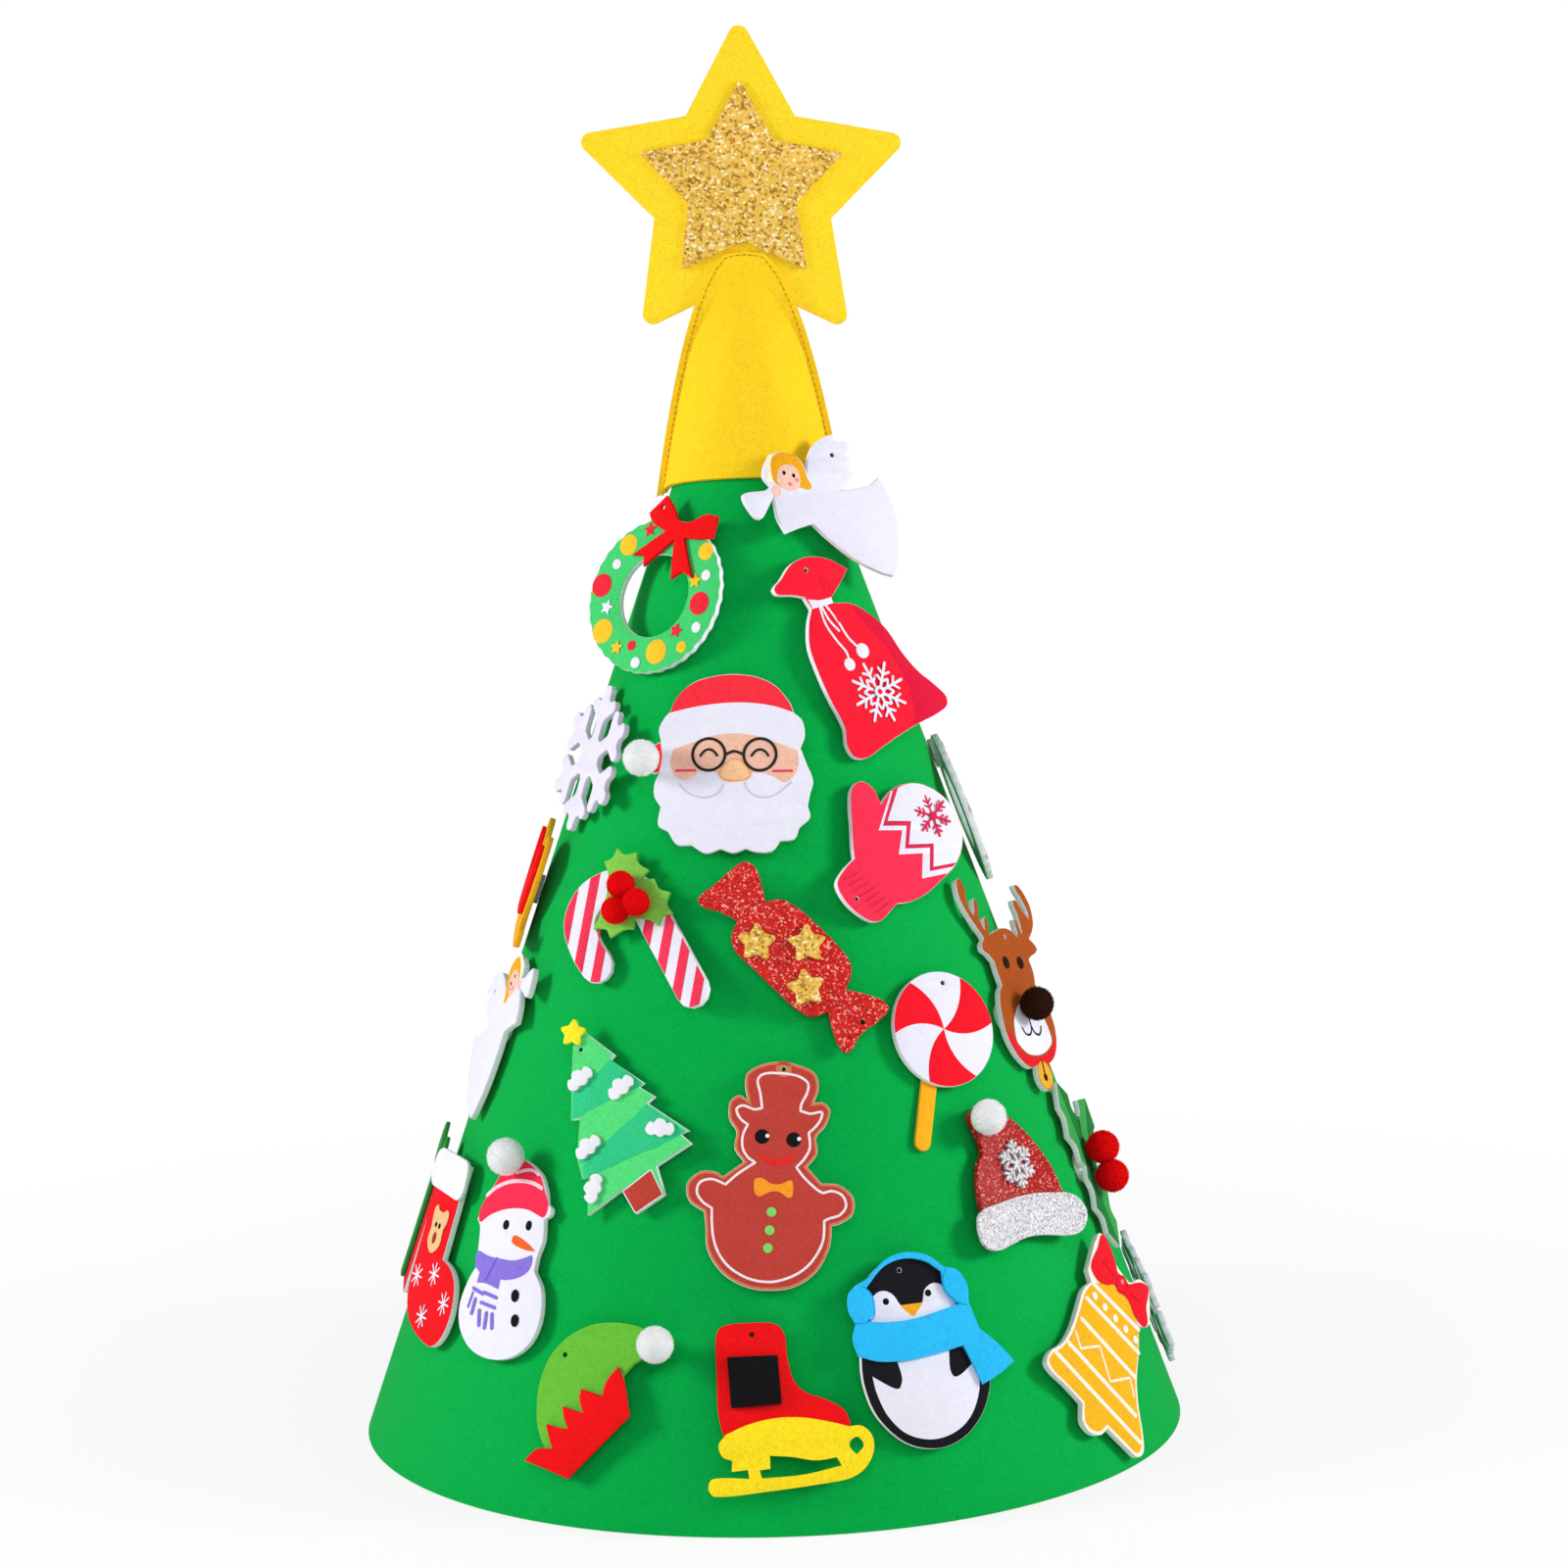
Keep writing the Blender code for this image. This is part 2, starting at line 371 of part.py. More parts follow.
SCARF_WINDOW_SHARES = (
    (-0.255, 0.175, C), (-0.21, 0.21), (-0.21, 0.29), (-0.235, 0.33, C), (-0.13, 0.42), (-0.02, 0.445),
    (0.08, 0.42), (0.15, 0.365, C), (0.155, 0.28), (0.215, 0.205, C), (0.00, 0.165), (-0.13, 0.16),
)
BELL_SHARES = (
    (-0.475, 0.05), (-0.42, 0.09), (-0.31, 0.105), (-0.20, 0.16), (-0.10, 0.24), (-0.02, 0.305),
    (0.06, 0.325, C), (0.06, 0.385, C), (0.12, 0.44), (0.19, 0.50), (0.25, 0.53), (0.285, 0.47),
    (0.30, 0.36), (0.335, 0.29, C), (0.37, 0.25), (0.45, 0.25), (0.50, 0.20), (0.47, 0.11),
    (0.42, 0.03), (0.38, 0.02), (0.33, 0.04, C), (0.27, -0.07), (0.18, -0.20), (0.13, -0.32),
    (0.10, -0.44), (0.06, -0.53), (0.00, -0.54), (-0.06, -0.48), (-0.165, -0.355, C), (-0.23, -0.37),
    (-0.30, -0.345), (-0.34, -0.28), (-0.30, -0.195, C), (-0.38, -0.09), (-0.46, 0.00),
)
HOLLY_LEAF_SHARES = ((0.22, 95), (0.22, 38), (0.17, -88))
HOLLY_BERRY_SHARES = ((0.03, 0.078), (0.012, -0.07))
LEAF_LENGTH_SHARE = 0.50
LEAF_HALF_WIDTH_SHARE = 0.15
LEAF_SPIKES = 3
LEAF_STALK_SHARE = 0.7
LEAF_TIP_SHARE = 0.4
LEAF_VALLEY_SHARE = 0.5
LEAF_DIP_SHARE = 0.62
LEAF_SWELL_POWER = 0.6
WREATH_CENTRE_SHARES = (-0.01, -0.03)
WREATH_OUTER_SHARE = 0.40
WREATH_INNER_SHARE = 0.21
WREATH_WAVE_SHARE = 0.006
WREATH_WAVES = 16
SLEIGH_SHARES = (
    (-0.34, 0.12), (-0.29, 0.21), (-0.19, 0.19), (-0.13, 0.07), (0.00, 0.02), (0.13, 0.06), (0.22, 0.17),
    (0.33, 0.20), (0.36, 0.10), (0.30, -0.05), (0.20, -0.17), (0.00, -0.20), (-0.20, -0.18), (-0.31, -0.05),
)
SLEIGH_BASE_SHARES = (
    (-0.38, 0.16), (-0.30, 0.26), (-0.17, 0.235), (-0.10, 0.10, C), (0.00, 0.06), (0.10, 0.10, C),
    (0.20, 0.21), (0.34, 0.25), (0.41, 0.14), (0.35, -0.08), (0.30, -0.17, C), (0.36, -0.24),
    (0.42, -0.22, C), (0.42, -0.30, C), (0.28, -0.33), (-0.30, -0.33), (-0.41, -0.28), (-0.36, -0.22),
    (-0.28, -0.24, C), (-0.27, -0.18, C), (-0.34, -0.06),
)
SECOND_ANGEL_TURN_DEGREES = 40

SLOPE = math.atan(BASE_RADIUS / APEX_HEIGHT)
PLATE_BACK = SEAT_GAP + DOT_THICKNESS
PLATE_FRONT = PLATE_BACK + ORNAMENT_FELT
TRIM_BACK = PLATE_FRONT + SEAT_GAP
TRIM_FRONT = TRIM_BACK + TRIM_FELT


def clear_scene():
    for item in list(bpy.data.objects):
        bpy.data.objects.remove(item, do_unlink=True)


def collection(name):
    """The collection of that name, made and linked to the scene if need be."""
    found = bpy.data.collections.get(name)
    if found is None:
        found = bpy.data.collections.new(name)
        bpy.context.scene.collection.children.link(found)
    return found


def material(name, colour, roughness=0.9, metallic=0.0):
    look = bpy.data.materials.new(name)
    look.use_nodes = True
    shader = look.node_tree.nodes["Principled BSDF"]
    shader.inputs["Base Color"].default_value = (*colour, 1.0)
    shader.inputs["Roughness"].default_value = roughness
    shader.inputs["Metallic"].default_value = metallic
    return look


def add_mesh(name, mesh, colour, roughness=0.9, metallic=0.0):
    """A named object of the model with its own material."""
    item = bpy.data.objects.new(name, mesh)
    collection(COLLECTION).objects.link(item)
    mesh.materials.append(material(name, colour, roughness, metallic))
    return item


def add_cutter(name, mesh):
    """A helper for a Boolean: it isn't rendered and isn't a piece of the tree."""
    item = bpy.data.objects.new(name, mesh)
    collection(CUTTERS).objects.link(item)
    item.hide_render = True
    item.display_type = 'WIRE'
    return item


def boolean(item, other, operation):
    change = item.modifiers.new(operation.lower(), 'BOOLEAN')
    change.operation = operation
    change.solver = 'EXACT'
    change.object = other


def cone_radius(height):
    """Radius of the cone's outer surface at a height."""
    return BASE_RADIUS * (1 - height / APEX_HEIGHT)


def hanger(name, level=0.0, turn_degrees=0.0):
    """An empty on the cone at an ornament's middle: X runs round the cone, Y up it and Z out of it."""
    azimuth, height_share = PLACE_SHARES[name][:2]
    phi = math.radians(azimuth)
    height = height_share * APEX_HEIGHT
    outward = Vector((math.sin(phi), -math.cos(phi), 0.0))
    normal = outward * math.cos(SLOPE) + Vector((0.0, 0.0, math.sin(SLOPE)))
    empty = bpy.data.objects.new(name + "_hanger", None)
    collection(COLLECTION).objects.link(empty)
    empty.location = outward * cone_radius(height) + Vector((0.0, 0.0, height)) + normal * level
    empty.rotation_euler = (math.pi / 2 - SLOPE, 0.0, phi)
    drawing = bpy.data.objects.new(name + "_drawing", None)
    collection(COLLECTION).objects.link(drawing)
    drawing.parent = empty
    drawing.rotation_euler.z = math.radians(turn_degrees)
    return drawing


def seat(item, drawing, x=0.0, y=0.0, level=0.0, turn_degrees=0.0):
    """Parent a piece to an ornament's drawing frame."""
    item.parent = drawing
    item.location = (x, y, level)
    item.rotation_euler.z = math.radians(turn_degrees)


def scaled(table, size):
    """Outline points in metres, each with True where it is a corner."""
    return [(row[0] * size, row[1] * size, len(row) == 3) for row in table]


def circle(x, y, radius, sides):
    """Corner points on a circle, for short straight sides."""
    turns = [2 * math.pi * k / sides for k in range(sides)]
    return [(x + radius * math.cos(a), y + radius * math.sin(a), True) for a in turns]


def rounded(points, radius, steps=3):
    """A polygon whose corners are arcs of one radius."""
    result = []
    count = len(points)
    for k in range(count):
        here = Vector(points[k][:2])
        before = (Vector(points[k - 1][:2]) - here).normalized()
        after = (Vector(points[(k + 1) % count][:2]) - here).normalized()
        half_angle = before.angle(after) / 2
        middle = (before + after).normalized()
        centre = here + middle * radius / math.sin(half_angle)
        first = here + before * radius / math.tan(half_angle) - centre
        last = here + after * radius / math.tan(half_angle) - centre
        for step in range(steps + 1):
            arm = first.lerp(last, step / steps).normalized() * radius
            result.append((centre.x + arm.x, centre.y + arm.y, True))
    return result


def star_outline(radius, notch_share, round_radius, tips=5):
    """A star with one tip straight up: its tips are rounded and its notches sharp."""
    points = []
    for k in range(2 * tips):
        reach = radius if k % 2 == 0 else radius * notch_share
        angle = math.pi / 2 - k * math.pi / tips
        points.append((reach * math.cos(angle), reach * math.sin(angle), True))
    soft = rounded(points, round_radius)
    per_corner = len(soft) // len(points)
    result = []
    for k, point in enumerate(points):
        result += soft[k * per_corner:(k + 1) * per_corner] if k % 2 == 0 else [point]
    return result


def stroke_outline(path, width, end_steps=6):
    """The outline of a band of one width along a path, with round ends."""
    places = [Vector(p[:2]) for p in path]
    last = len(places) - 1
    sides = []
    for k, place in enumerate(places):
        along = (places[min(k + 1, last)] - places[max(k - 1, 0)]).normalized()
        sides.append((place, Vector((-along.y, along.x)) * width / 2))
    left = [(p.x + s.x, p.y + s.y, False) for p, s in sides[1:-1]]
    right = [(p.x - s.x, p.y - s.y, False) for p, s in reversed(sides[1:-1])]

    def end(place, side):
        turns = [math.pi * k / end_steps for k in range(end_steps + 1)]
        arms = [Matrix.Rotation(-a, 2) @ side for a in turns]
        return [(place.x + arm.x, place.y + arm.y, True) for arm in arms]

    return left + end(*sides[-1]) + right + end(places[0], -sides[0][1])


def snowflake_outline(radius):
    """Six arms, each with a round tip and one pair of side branches."""
    bar, branch_root, branch_top, branch_length = (share * radius for share in FLAKE_SHARES)
    lean = Vector((math.cos(math.pi / 3), math.sin(math.pi / 3))) * branch_length
    middle = branch_root + (branch_top - branch_root) * FLAKE_TIP_PLACE_SHARE
    half = [
        Vector((bar / math.tan(math.pi / 6), bar)),
        Vector((branch_root, bar)),
        Vector((branch_root, bar)) + lean,
        Vector((middle, bar)) + lean * FLAKE_TIP_REACH_SHARE,
        Vector((branch_top, bar)) + lean * FLAKE_SHOULDER_SHARE,
        Vector((branch_top, bar)),
        Vector((radius - bar / 2, bar)),
        Vector((radius, bar / 2)),
    ]
    arm = [Vector((p.x, -p.y)) for p in half[1:]] + list(reversed(half))
    result = []
    for k in range(6):
        spin = Matrix.Rotation(math.pi / 2 + k * math.pi / 3, 2)
        result += [(*(spin @ p), True) for p in arm]
    return result


def wavy_circle(x, y, radius, wave, waves):
    """A circle whose radius swells and shrinks a little."""
    result = []
    for k in range(3 * waves):
        angle = 2 * math.pi * k / (3 * waves)
        reach = radius + wave * math.cos(waves * angle)
        result.append((x + reach * math.cos(angle), y + reach * math.sin(angle), True))
    return result


def leaf_outline(start, direction, length, half_width, spikes):
    """A holly leaf from near its stalk to its tip, with curved-in sides between its spikes."""
    along = Vector((math.cos(direction), math.sin(direction)))
    across = Vector((-along.y, along.x))
    foot = along * (start - length / 2)

    def side(sign):
        rows = []
        for k in range(spikes):
            share = (k + LEAF_STALK_SHARE) / (spikes + LEAF_TIP_SHARE)
            valley = share + LEAF_VALLEY_SHARE / (spikes + LEAF_TIP_SHARE)
            swell = half_width * math.sin(math.pi * share) ** LEAF_SWELL_POWER
            dip = half_width * LEAF_DIP_SHARE * math.sin(math.pi * valley) ** LEAF_SWELL_POWER
            rows += [(share, swell * sign), (valley, dip * sign)] if k < spikes - 1 else [(share, swell * sign)]
        return rows

    rows = [(0.0, 0.0)] + side(1) + [(1.0, 0.0)] + list(reversed(side(-1)))
    places = [foot + along * (share * length) + across * offset for share, offset in rows]
    return [(p.x, p.y, True) for p in places]


def flat_mesh(name, outlines, bottom, thickness):
    """A closed plate from 2D outlines; outlines after the first cut holes in it."""
    curve = bpy.data.curves.new(name, 'CURVE')
    curve.dimensions = '2D'
    curve.fill_mode = 'BOTH'
    curve.resolution_u = CURVE_STEPS
    curve.extrude = thickness / 2
    for outline in outlines:
        spline = curve.splines.new('BEZIER')
        spline.bezier_points.add(len(outline) - 1)
        spline.use_cyclic_u = True
        for point, (x, y, corner) in zip(spline.bezier_points, outline):
            point.co = (x, y, 0.0)
            point.handle_left_type = point.handle_right_type = 'VECTOR' if corner else 'AUTO'
    item = bpy.data.objects.new(name, curve)
    bpy.context.scene.collection.objects.link(item)
    evaluated = item.evaluated_get(bpy.context.evaluated_depsgraph_get())
    mesh = bpy.data.meshes.new_from_object(evaluated)
    bpy.data.objects.remove(item, do_unlink=True)
    shape = bmesh.new()
    shape.from_mesh(mesh)
    bmesh.ops.remove_doubles(shape, verts=shape.verts, dist=OVERRUN * MERGE_SHARE)
    bmesh.ops.recalc_face_normals(shape, faces=shape.faces)
    bmesh.ops.translate(shape, verts=shape.verts, vec=(0.0, 0.0, bottom + thickness / 2))
    shape.to_mesh(mesh)
    shape.free()
    return mesh


def plate(name, drawing, outlines, colour, bottom=PLATE_BACK, thickness=ORNAMENT_FELT, **place):
    """A flat felt piece of an ornament."""
    item = add_mesh(name, flat_mesh(name, outlines, bottom, thickness), colour)
    seat(item, drawing, **place)
    return item


def trim(name, drawing, outlines, colour, bottom=TRIM_BACK, **place):
    """A thinner felt piece that is glued on an ornament's front."""
    return plate(name, drawing, outlines, colour, bottom, TRIM_FELT, **place)


def hook_dot(base, drawing, x, y):
    """The round hook patch on a plate's back, joined to the plate."""
    mesh = bpy.data.meshes.new(base.name + "_dot")
    shape = bmesh.new()
    depth = DOT_THICKNESS + OVERRUN
    bmesh.ops.create_cone(shape, cap_ends=True, segments=DOT_SIDES, radius1=DOT_RADIUS,
                          radius2=DOT_RADIUS, depth=depth)
    bmesh.ops.translate(shape, verts=shape.verts, vec=(0.0, 0.0, SEAT_GAP + depth / 2))
    shape.to_mesh(mesh)
    shape.free()
    dot = add_cutter(mesh.name, mesh)
    seat(dot, drawing, x, y)
    boolean(base, dot, 'UNION')


def ornament(name, node, outlines, colour, size, level=0.0, turn_degrees=0.0):
    """An ornament's base plate with its punched hole and hook dot; gives the frame it is drawn in."""
    side_share, dot_share, punch_shares = PLACE_SHARES[name][2:]
    drawing = hanger(name, level, turn_degrees)
    shift = Matrix.Rotation(-math.radians(turn_degrees), 2) @ Vector((side_share * size, 0.0))
    frame = bpy.data.objects.new(name + "_frame", None)
    collection(COLLECTION).objects.link(frame)
    seat(frame, drawing, shift.x, shift.y)
    if punch_shares:
        outlines = outlines + [circle(punch_shares[0] * size, punch_shares[1] * size, PUNCH_RADIUS, PUNCH_SIDES)]
    base = plate(node, frame, outlines, colour)
    lift = Matrix.Rotation(-math.radians(turn_degrees), 2) @ Vector((0.0, dot_share * size))
    hook_dot(base, drawing, lift.x, lift.y)
    return frame


def ball(name, frame, centres, radius, colour, level, sides=POMPOM_SIDES):
    """A pompom, or a few that are stuck together; their centres are in the ornament's drawing."""
    items = []
    for k, (x, y) in enumerate(centres):
        mesh = bpy.data.meshes.new(f"{name}_{k}")
        shape = bmesh.new()
        bmesh.ops.create_uvsphere(shape, u_segments=sides, v_segments=sides // 2 + 1, radius=radius)
        shape.to_mesh(mesh)
        shape.free()
        mesh.shade_smooth()
        item = add_cutter(mesh.name, mesh) if k else add_mesh(name, mesh, colour, 1.0)
        seat(item, frame, x, y, level + radius)
        items.append(item)
    for other in items[1:]:
        boolean(items[0], other, 'UNION')
    return items[0]


def grid_mesh(name, columns, rows, place):
    """An open sheet whose grid points are set by a function of two shares from 0 to 1."""
    mesh = bpy.data.meshes.new(name)
    shape = bmesh.new()
    bmesh.ops.create_grid(shape, x_segments=columns, y_segments=rows, size=0.5)
    for vert in shape.verts:
        vert.co = place(vert.co.x + 0.5, vert.co.y + 0.5)
    shape.to_mesh(mesh)
    shape.free()
    return mesh


def cone_point(azimuth, height, depth):
    """A point under the cone's outer surface by a depth square to it."""
    reach = cone_radius(height) - depth / math.cos(SLOPE)
    return Vector((reach * math.sin(azimuth), -reach * math.cos(azimuth), height))


def solidify(item, thickness, offset):
    shell = item.modifiers.new("felt", 'SOLIDIFY')
    shell.thickness = thickness
    shell.offset = offset
    shell.use_even_offset = False


def make_cone():
    """The rolled felt sheet: its first end is tucked behind its last one at the back."""
    start = math.pi - math.radians(OVERLAP_DEGREES) / 2
    tucked = math.radians(OVERLAP_DEGREES)
    ramp = math.radians(RAMP_DEGREES)
    sweep = 2 * math.pi + tucked
    tuck_depth = CONE_FELT + TAPE_THICKNESS + 2 * SEAT_GAP
    margin = 2 * CONE_FELT

    def place(along, up):
        turn = along * sweep
        share = min(max((turn - tucked) / ramp, 0.0), 1.0)
        depth = tuck_depth * (1 - share * share * (3 - 2 * share))
        height = -margin + up * (OPEN_TIP_HEIGHT + 2 * margin)
        return cone_point(start + turn, height, depth)

    cone = add_mesh("cone_felt", grid_mesh("cone_felt", CONE_SEGMENTS, 1, place), GREEN)
    solidify(cone, CONE_FELT, -1.0)
    for name, height, side in (("foot_cutter", 0.0, -1), ("tip_cutter", OPEN_TIP_HEIGHT, 1)):
        mesh = bpy.data.meshes.new(name)
        shape = bmesh.new()
        bmesh.ops.create_cube(shape, size=CUTTER_SIZE)
        bmesh.ops.translate(shape, verts=shape.verts, vec=(0.0, 0.0, height + side * CUTTER_SIZE / 2))
        shape.to_mesh(mesh)
        shape.free()
        boolean(cone, add_cutter(name, mesh), 'DIFFERENCE')


def make_tape():
    """The hook tape that closes the overlap, between its two layers."""
    width = math.radians(TAPE_DEGREES)

    def place(along, up):
        height = TAPE_FOOT_HEIGHT + up * (TAPE_TOP_HEIGHT - TAPE_FOOT_HEIGHT)
        return cone_point(math.pi + (along - 0.5) * width, height, CONE_FELT + SEAT_GAP)

    tape = add_mesh("closure_tape", grid_mesh("closure_tape", TAPE_SEGMENTS, 1, place), GREEN)
    solidify(tape, TAPE_THICKNESS, -1.0)


def cap_section(depth, path_share):
    """A panel's inner face, cut level at a depth under the cap's tip: x and the distance from the middle.

    The path runs from seam edge to seam edge: flat seam, straight side, round the cone, and back.
    """
    width = CAP_HALF_WIDTH * (depth / CAP_LENGTH) ** CAP_WIDTH_POWER
    seam = min(CAP_SEAM, width * CAP_TIP_SEAM_SHARE)
    inner = width - seam
    radius = min(cone_radius(CAP_TIP_HEIGHT - depth) + CAP_CLEARANCE, inner * CAP_WIDEST_SHARE)
    radius = max(radius, inner * CAP_NARROWEST_SHARE)
    touch = math.acos(radius / inner)
    spread = min(max((depth - CAP_STAR_DEPTH) / CAP_SPREAD_LENGTH, 0.0), 1.0)
    half_gap = (STAR_FELT / 2 + SEAT_GAP) * (1 - spread) + SEAT_GAP / 2 * spread
    steps = CAP_ARC_STEPS / 2 + 3
    step = abs(path_share - 0.5) * 2 * steps
    if step <= CAP_ARC_STEPS / 2:
        angle = math.pi / 2 - step / (CAP_ARC_STEPS / 2) * (math.pi / 2 - touch)
        x, y = radius * math.cos(angle), radius * math.sin(angle)
    elif step <= CAP_ARC_STEPS / 2 + 2:
        share = (step - CAP_ARC_STEPS / 2) / 2
        x = radius * math.cos(touch) * (1 - share) + inner * share
        y = radius * math.sin(touch) * (1 - share)
    else:
        share = step - CAP_ARC_STEPS / 2 - 2
        x, y = inner + seam * share, 0.0
    return math.copysign(x, path_share - 0.5), max(y, half_gap)


def make_cap():
    """The two yellow panels of the topper's cap, stitched together at their flat side seams."""
    columns = CAP_ARC_STEPS + 6

    def place_on(side):
        def place(across, up):
            outer_share = (2 * across - 1) ** 2
            top = CAP_TIP_FLAT + CAP_TIP_ROUND * outer_share
            hem = CAP_LENGTH - CAP_HEM_RISE * (1 - outer_share)
            depth = top + (hem - top) * (1 - up) ** CAP_ROW_POWER
            x, y = cap_section(depth, across)
            return Vector((-side * x, side * y, CAP_TIP_HEIGHT - depth))
        return place

    for name, side in (("cap_front", -1), ("cap_back", 1)):
        panel = add_mesh(name, grid_mesh(name, columns, CAP_ROWS, place_on(side)), YELLOW)
        solidify(panel, CAP_FELT, 1.0)


def make_star():
    """The felt star between the cap's panels, and the glitter star on its front."""
    front = Matrix.Rotation(math.pi / 2, 4, 'X')
    spin = Matrix.Rotation(math.radians(STAR_TURN_DEGREES), 4, 'Z')
    centre = Matrix.Translation((0.0, 0.0, STAR_CENTRE_HEIGHT))
    felt = star_outline(STAR_RADIUS, STAR_NOTCH_SHARE, STAR_ROUND)
    star = add_mesh("star", flat_mesh("star", [felt], -STAR_FELT / 2, STAR_FELT), YELLOW)
    glitter = star_outline(GLITTER_STAR_RADIUS, GLITTER_STAR_NOTCH_SHARE, GLITTER_STAR_ROUND)
    seat_level = STAR_FELT / 2 + SEAT_GAP
    bright = add_mesh("glitter_star", flat_mesh("glitter_star", [glitter], seat_level, GLITTER_FELT), GOLD,
                      0.35, 0.6)
    star.matrix_world = centre @ front @ spin
    bright.matrix_world = Matrix.Translation((0.0, 0.0, GLITTER_STAR_RISE)) @ centre @ front @ spin


def make_wreath():
    size = WREATH_SIZE
    x, y = (share * size for share in WREATH_CENTRE_SHARES)
    ring = [
        wavy_circle(x, y, WREATH_OUTER_SHARE * size, WREATH_WAVE_SHARE * size, WREATH_WAVES),
        circle(x, y, WREATH_INNER_SHARE * size, 2 * WREATH_WAVES),
    ]
    frame = ornament("wreath", "wreath", ring, LIGHT_GREEN, size)
    trim("wreath_bow", frame, [scaled(WREATH_BOW_SHARES, size)], RED)


def make_second_wreath():
    size = SECOND_WREATH_SIZE
    ring = [
        wavy_circle(0.0, 0.0, WREATH_OUTER_SHARE * size, WREATH_WAVE_SHARE * size, WREATH_WAVES),
        circle(0.0, 0.0, WREATH_INNER_SHARE * size, 2 * WREATH_WAVES),
    ]
    ornament("second_wreath", "second_wreath", ring, LIGHT_GREEN, size)


def make_angels():
    """The first angel's dot sits on the cap, so it stands further out; the second one is its mirror image."""
    ornament("angel", "angel", [scaled(ANGEL_SHARES, ANGEL_SIZE)], WHITE, ANGEL_SIZE,
             level=CAP_CLEARANCE + CAP_FELT + SEAT_GAP)
    turned = [(-x, y, corner) for x, y, corner in scaled(ANGEL_SHARES, SECOND_ANGEL_SIZE)]
    ornament("second_angel", "second_angel", [turned], WHITE, SECOND_ANGEL_SIZE,
             turn_degrees=SECOND_ANGEL_TURN_DEGREES)


def make_sack():
    ornament("sack", "gift_sack", [scaled(SACK_SHARES, SACK_SIZE)], PRINT_RED, SACK_SIZE)


def make_santa():
    size = SANTA_SIZE
    frame = ornament("santa", "santa_face", [scaled(SANTA_SHARES, size)], WHITE, size)
    pompom = (SANTA_POMPOM_SHARES[0] * size, SANTA_POMPOM_SHARES[1] * size)
    ball("santa_pompom", frame, [pompom], SANTA_POMPOM_RADIUS, WHITE, TRIM_BACK)


def make_snowflakes():
    for name, size in (("snowflake", SNOWFLAKE_SIZE), ("second_snowflake", SECOND_SNOWFLAKE_SIZE)):
        ornament(name, name, [snowflake_outline(size / 2)], WHITE, size)


def make_mitten():
    ornament("mitten", "mitten", [scaled(MITTEN_SHARES, MITTEN_SIZE)], PRINT_RED, MITTEN_SIZE)


def make_cane():
    size = CANE_SIZE
    path = scaled(CANE_PATH_SHARES, size)
    frame = ornament("cane", "candy_cane", [stroke_outline(path, CANE_WIDTH_SHARE * size)], PRINT_RED, size)
    trim("cane_holly", frame, [scaled(CANE_HOLLY_SHARES, size)], LIGHT_GREEN)
    centres = [(x * size, y * size) for x, y in CANE_BERRY_SHARES]
    ball("cane_berries", frame, centres, BERRY_RADIUS, RED, TRIM_FRONT + SEAT_GAP, BERRY_SIDES)


def make_candy():
    size = CANDY_SIZE
    frame = ornament("candy", "glitter_candy", [scaled(CANDY_SHARES, size)], RED, size)
    outline = star_outline(CANDY_STAR_RADIUS_SHARE * size, SMALL_STAR_NOTCH_SHARE,
                           SMALL_STAR_ROUND_SHARE * size)
    for k, ((x, y), turn) in enumerate(zip(CANDY_STAR_SHARES, CANDY_STAR_TURNS_DEGREES)):
        trim(f"candy_star_{k + 1}", frame, [outline], GOLD, x=x * size, y=y * size, turn_degrees=turn)


def make_lollipop():
    size = LOLLIPOP_SIZE
    disc = circle(DISC_CENTRE_SHARES[0] * size, DISC_CENTRE_SHARES[1] * size, DISC_RADIUS_SHARE * size,
                  DISC_SIDES)
    frame = ornament("lollipop", "lollipop_disc", [disc], WHITE, size)
    stick = stroke_outline(scaled(STICK_SHARES, size), STICK_WIDTH_SHARE * size)
    stick_back = PLATE_BACK - SEAT_GAP - TRIM_FELT
    trim("lollipop_stick", frame, [stick], ORANGE_YELLOW, stick_back)


def make_reindeer():
    size = REINDEER_SIZE
    frame = ornament("reindeer", "reindeer", [scaled(REINDEER_SHARES, size)], DEER_BROWN, size)
    nose = [(NOSE_SHARES[0] * size, NOSE_SHARES[1] * size)]
    ball("reindeer_nose", frame, nose, NOSE_RADIUS, DARK_BROWN, TRIM_BACK)


def make_hat():
    size = HAT_SIZE
    frame = ornament("hat", "santa_hat", [scaled(HAT_SHARES, size)], RED, size)
    trim("santa_hat_brim", frame, [scaled(HAT_BRIM_SHARES, size)], SILVER)
    flake = snowflake_outline(HAT_FLAKE_RADIUS_SHARE * size)
    x, y = (share * size for share in HAT_FLAKE_SHARES)
    trim("santa_hat_snowflake", frame, [flake], SILVER, x=x, y=y)
    pompom = [(HAT_POMPOM_SHARES[0] * size, HAT_POMPOM_SHARES[1] * size)]
    ball("santa_hat_pompom", frame, pompom, HAT_POMPOM_RADIUS, WHITE, TRIM_BACK)


def make_fir():
    size = FIR_SIZE
    frame = ornament("fir", "fir_ornament", [scaled(FIR_SHARES, size)], LIGHT_GREEN, size)
    star = star_outline(FIR_STAR_RADIUS_SHARE * size, SMALL_STAR_NOTCH_SHARE,
                        SMALL_STAR_ROUND_SHARE * size)
    trim("fir_star", frame, [star], YELLOW, x=FIR_STAR_SHARES[0] * size, y=FIR_STAR_SHARES[1] * size)
    for k, (x, y, turn) in enumerate(PUFF_PLACE_SHARES):
        trim(f"fir_snow_puff_{k + 1}", frame, [scaled(PUFF_SHARES, size)], WHITE,
             x=x * size, y=y * size, turn_degrees=turn)


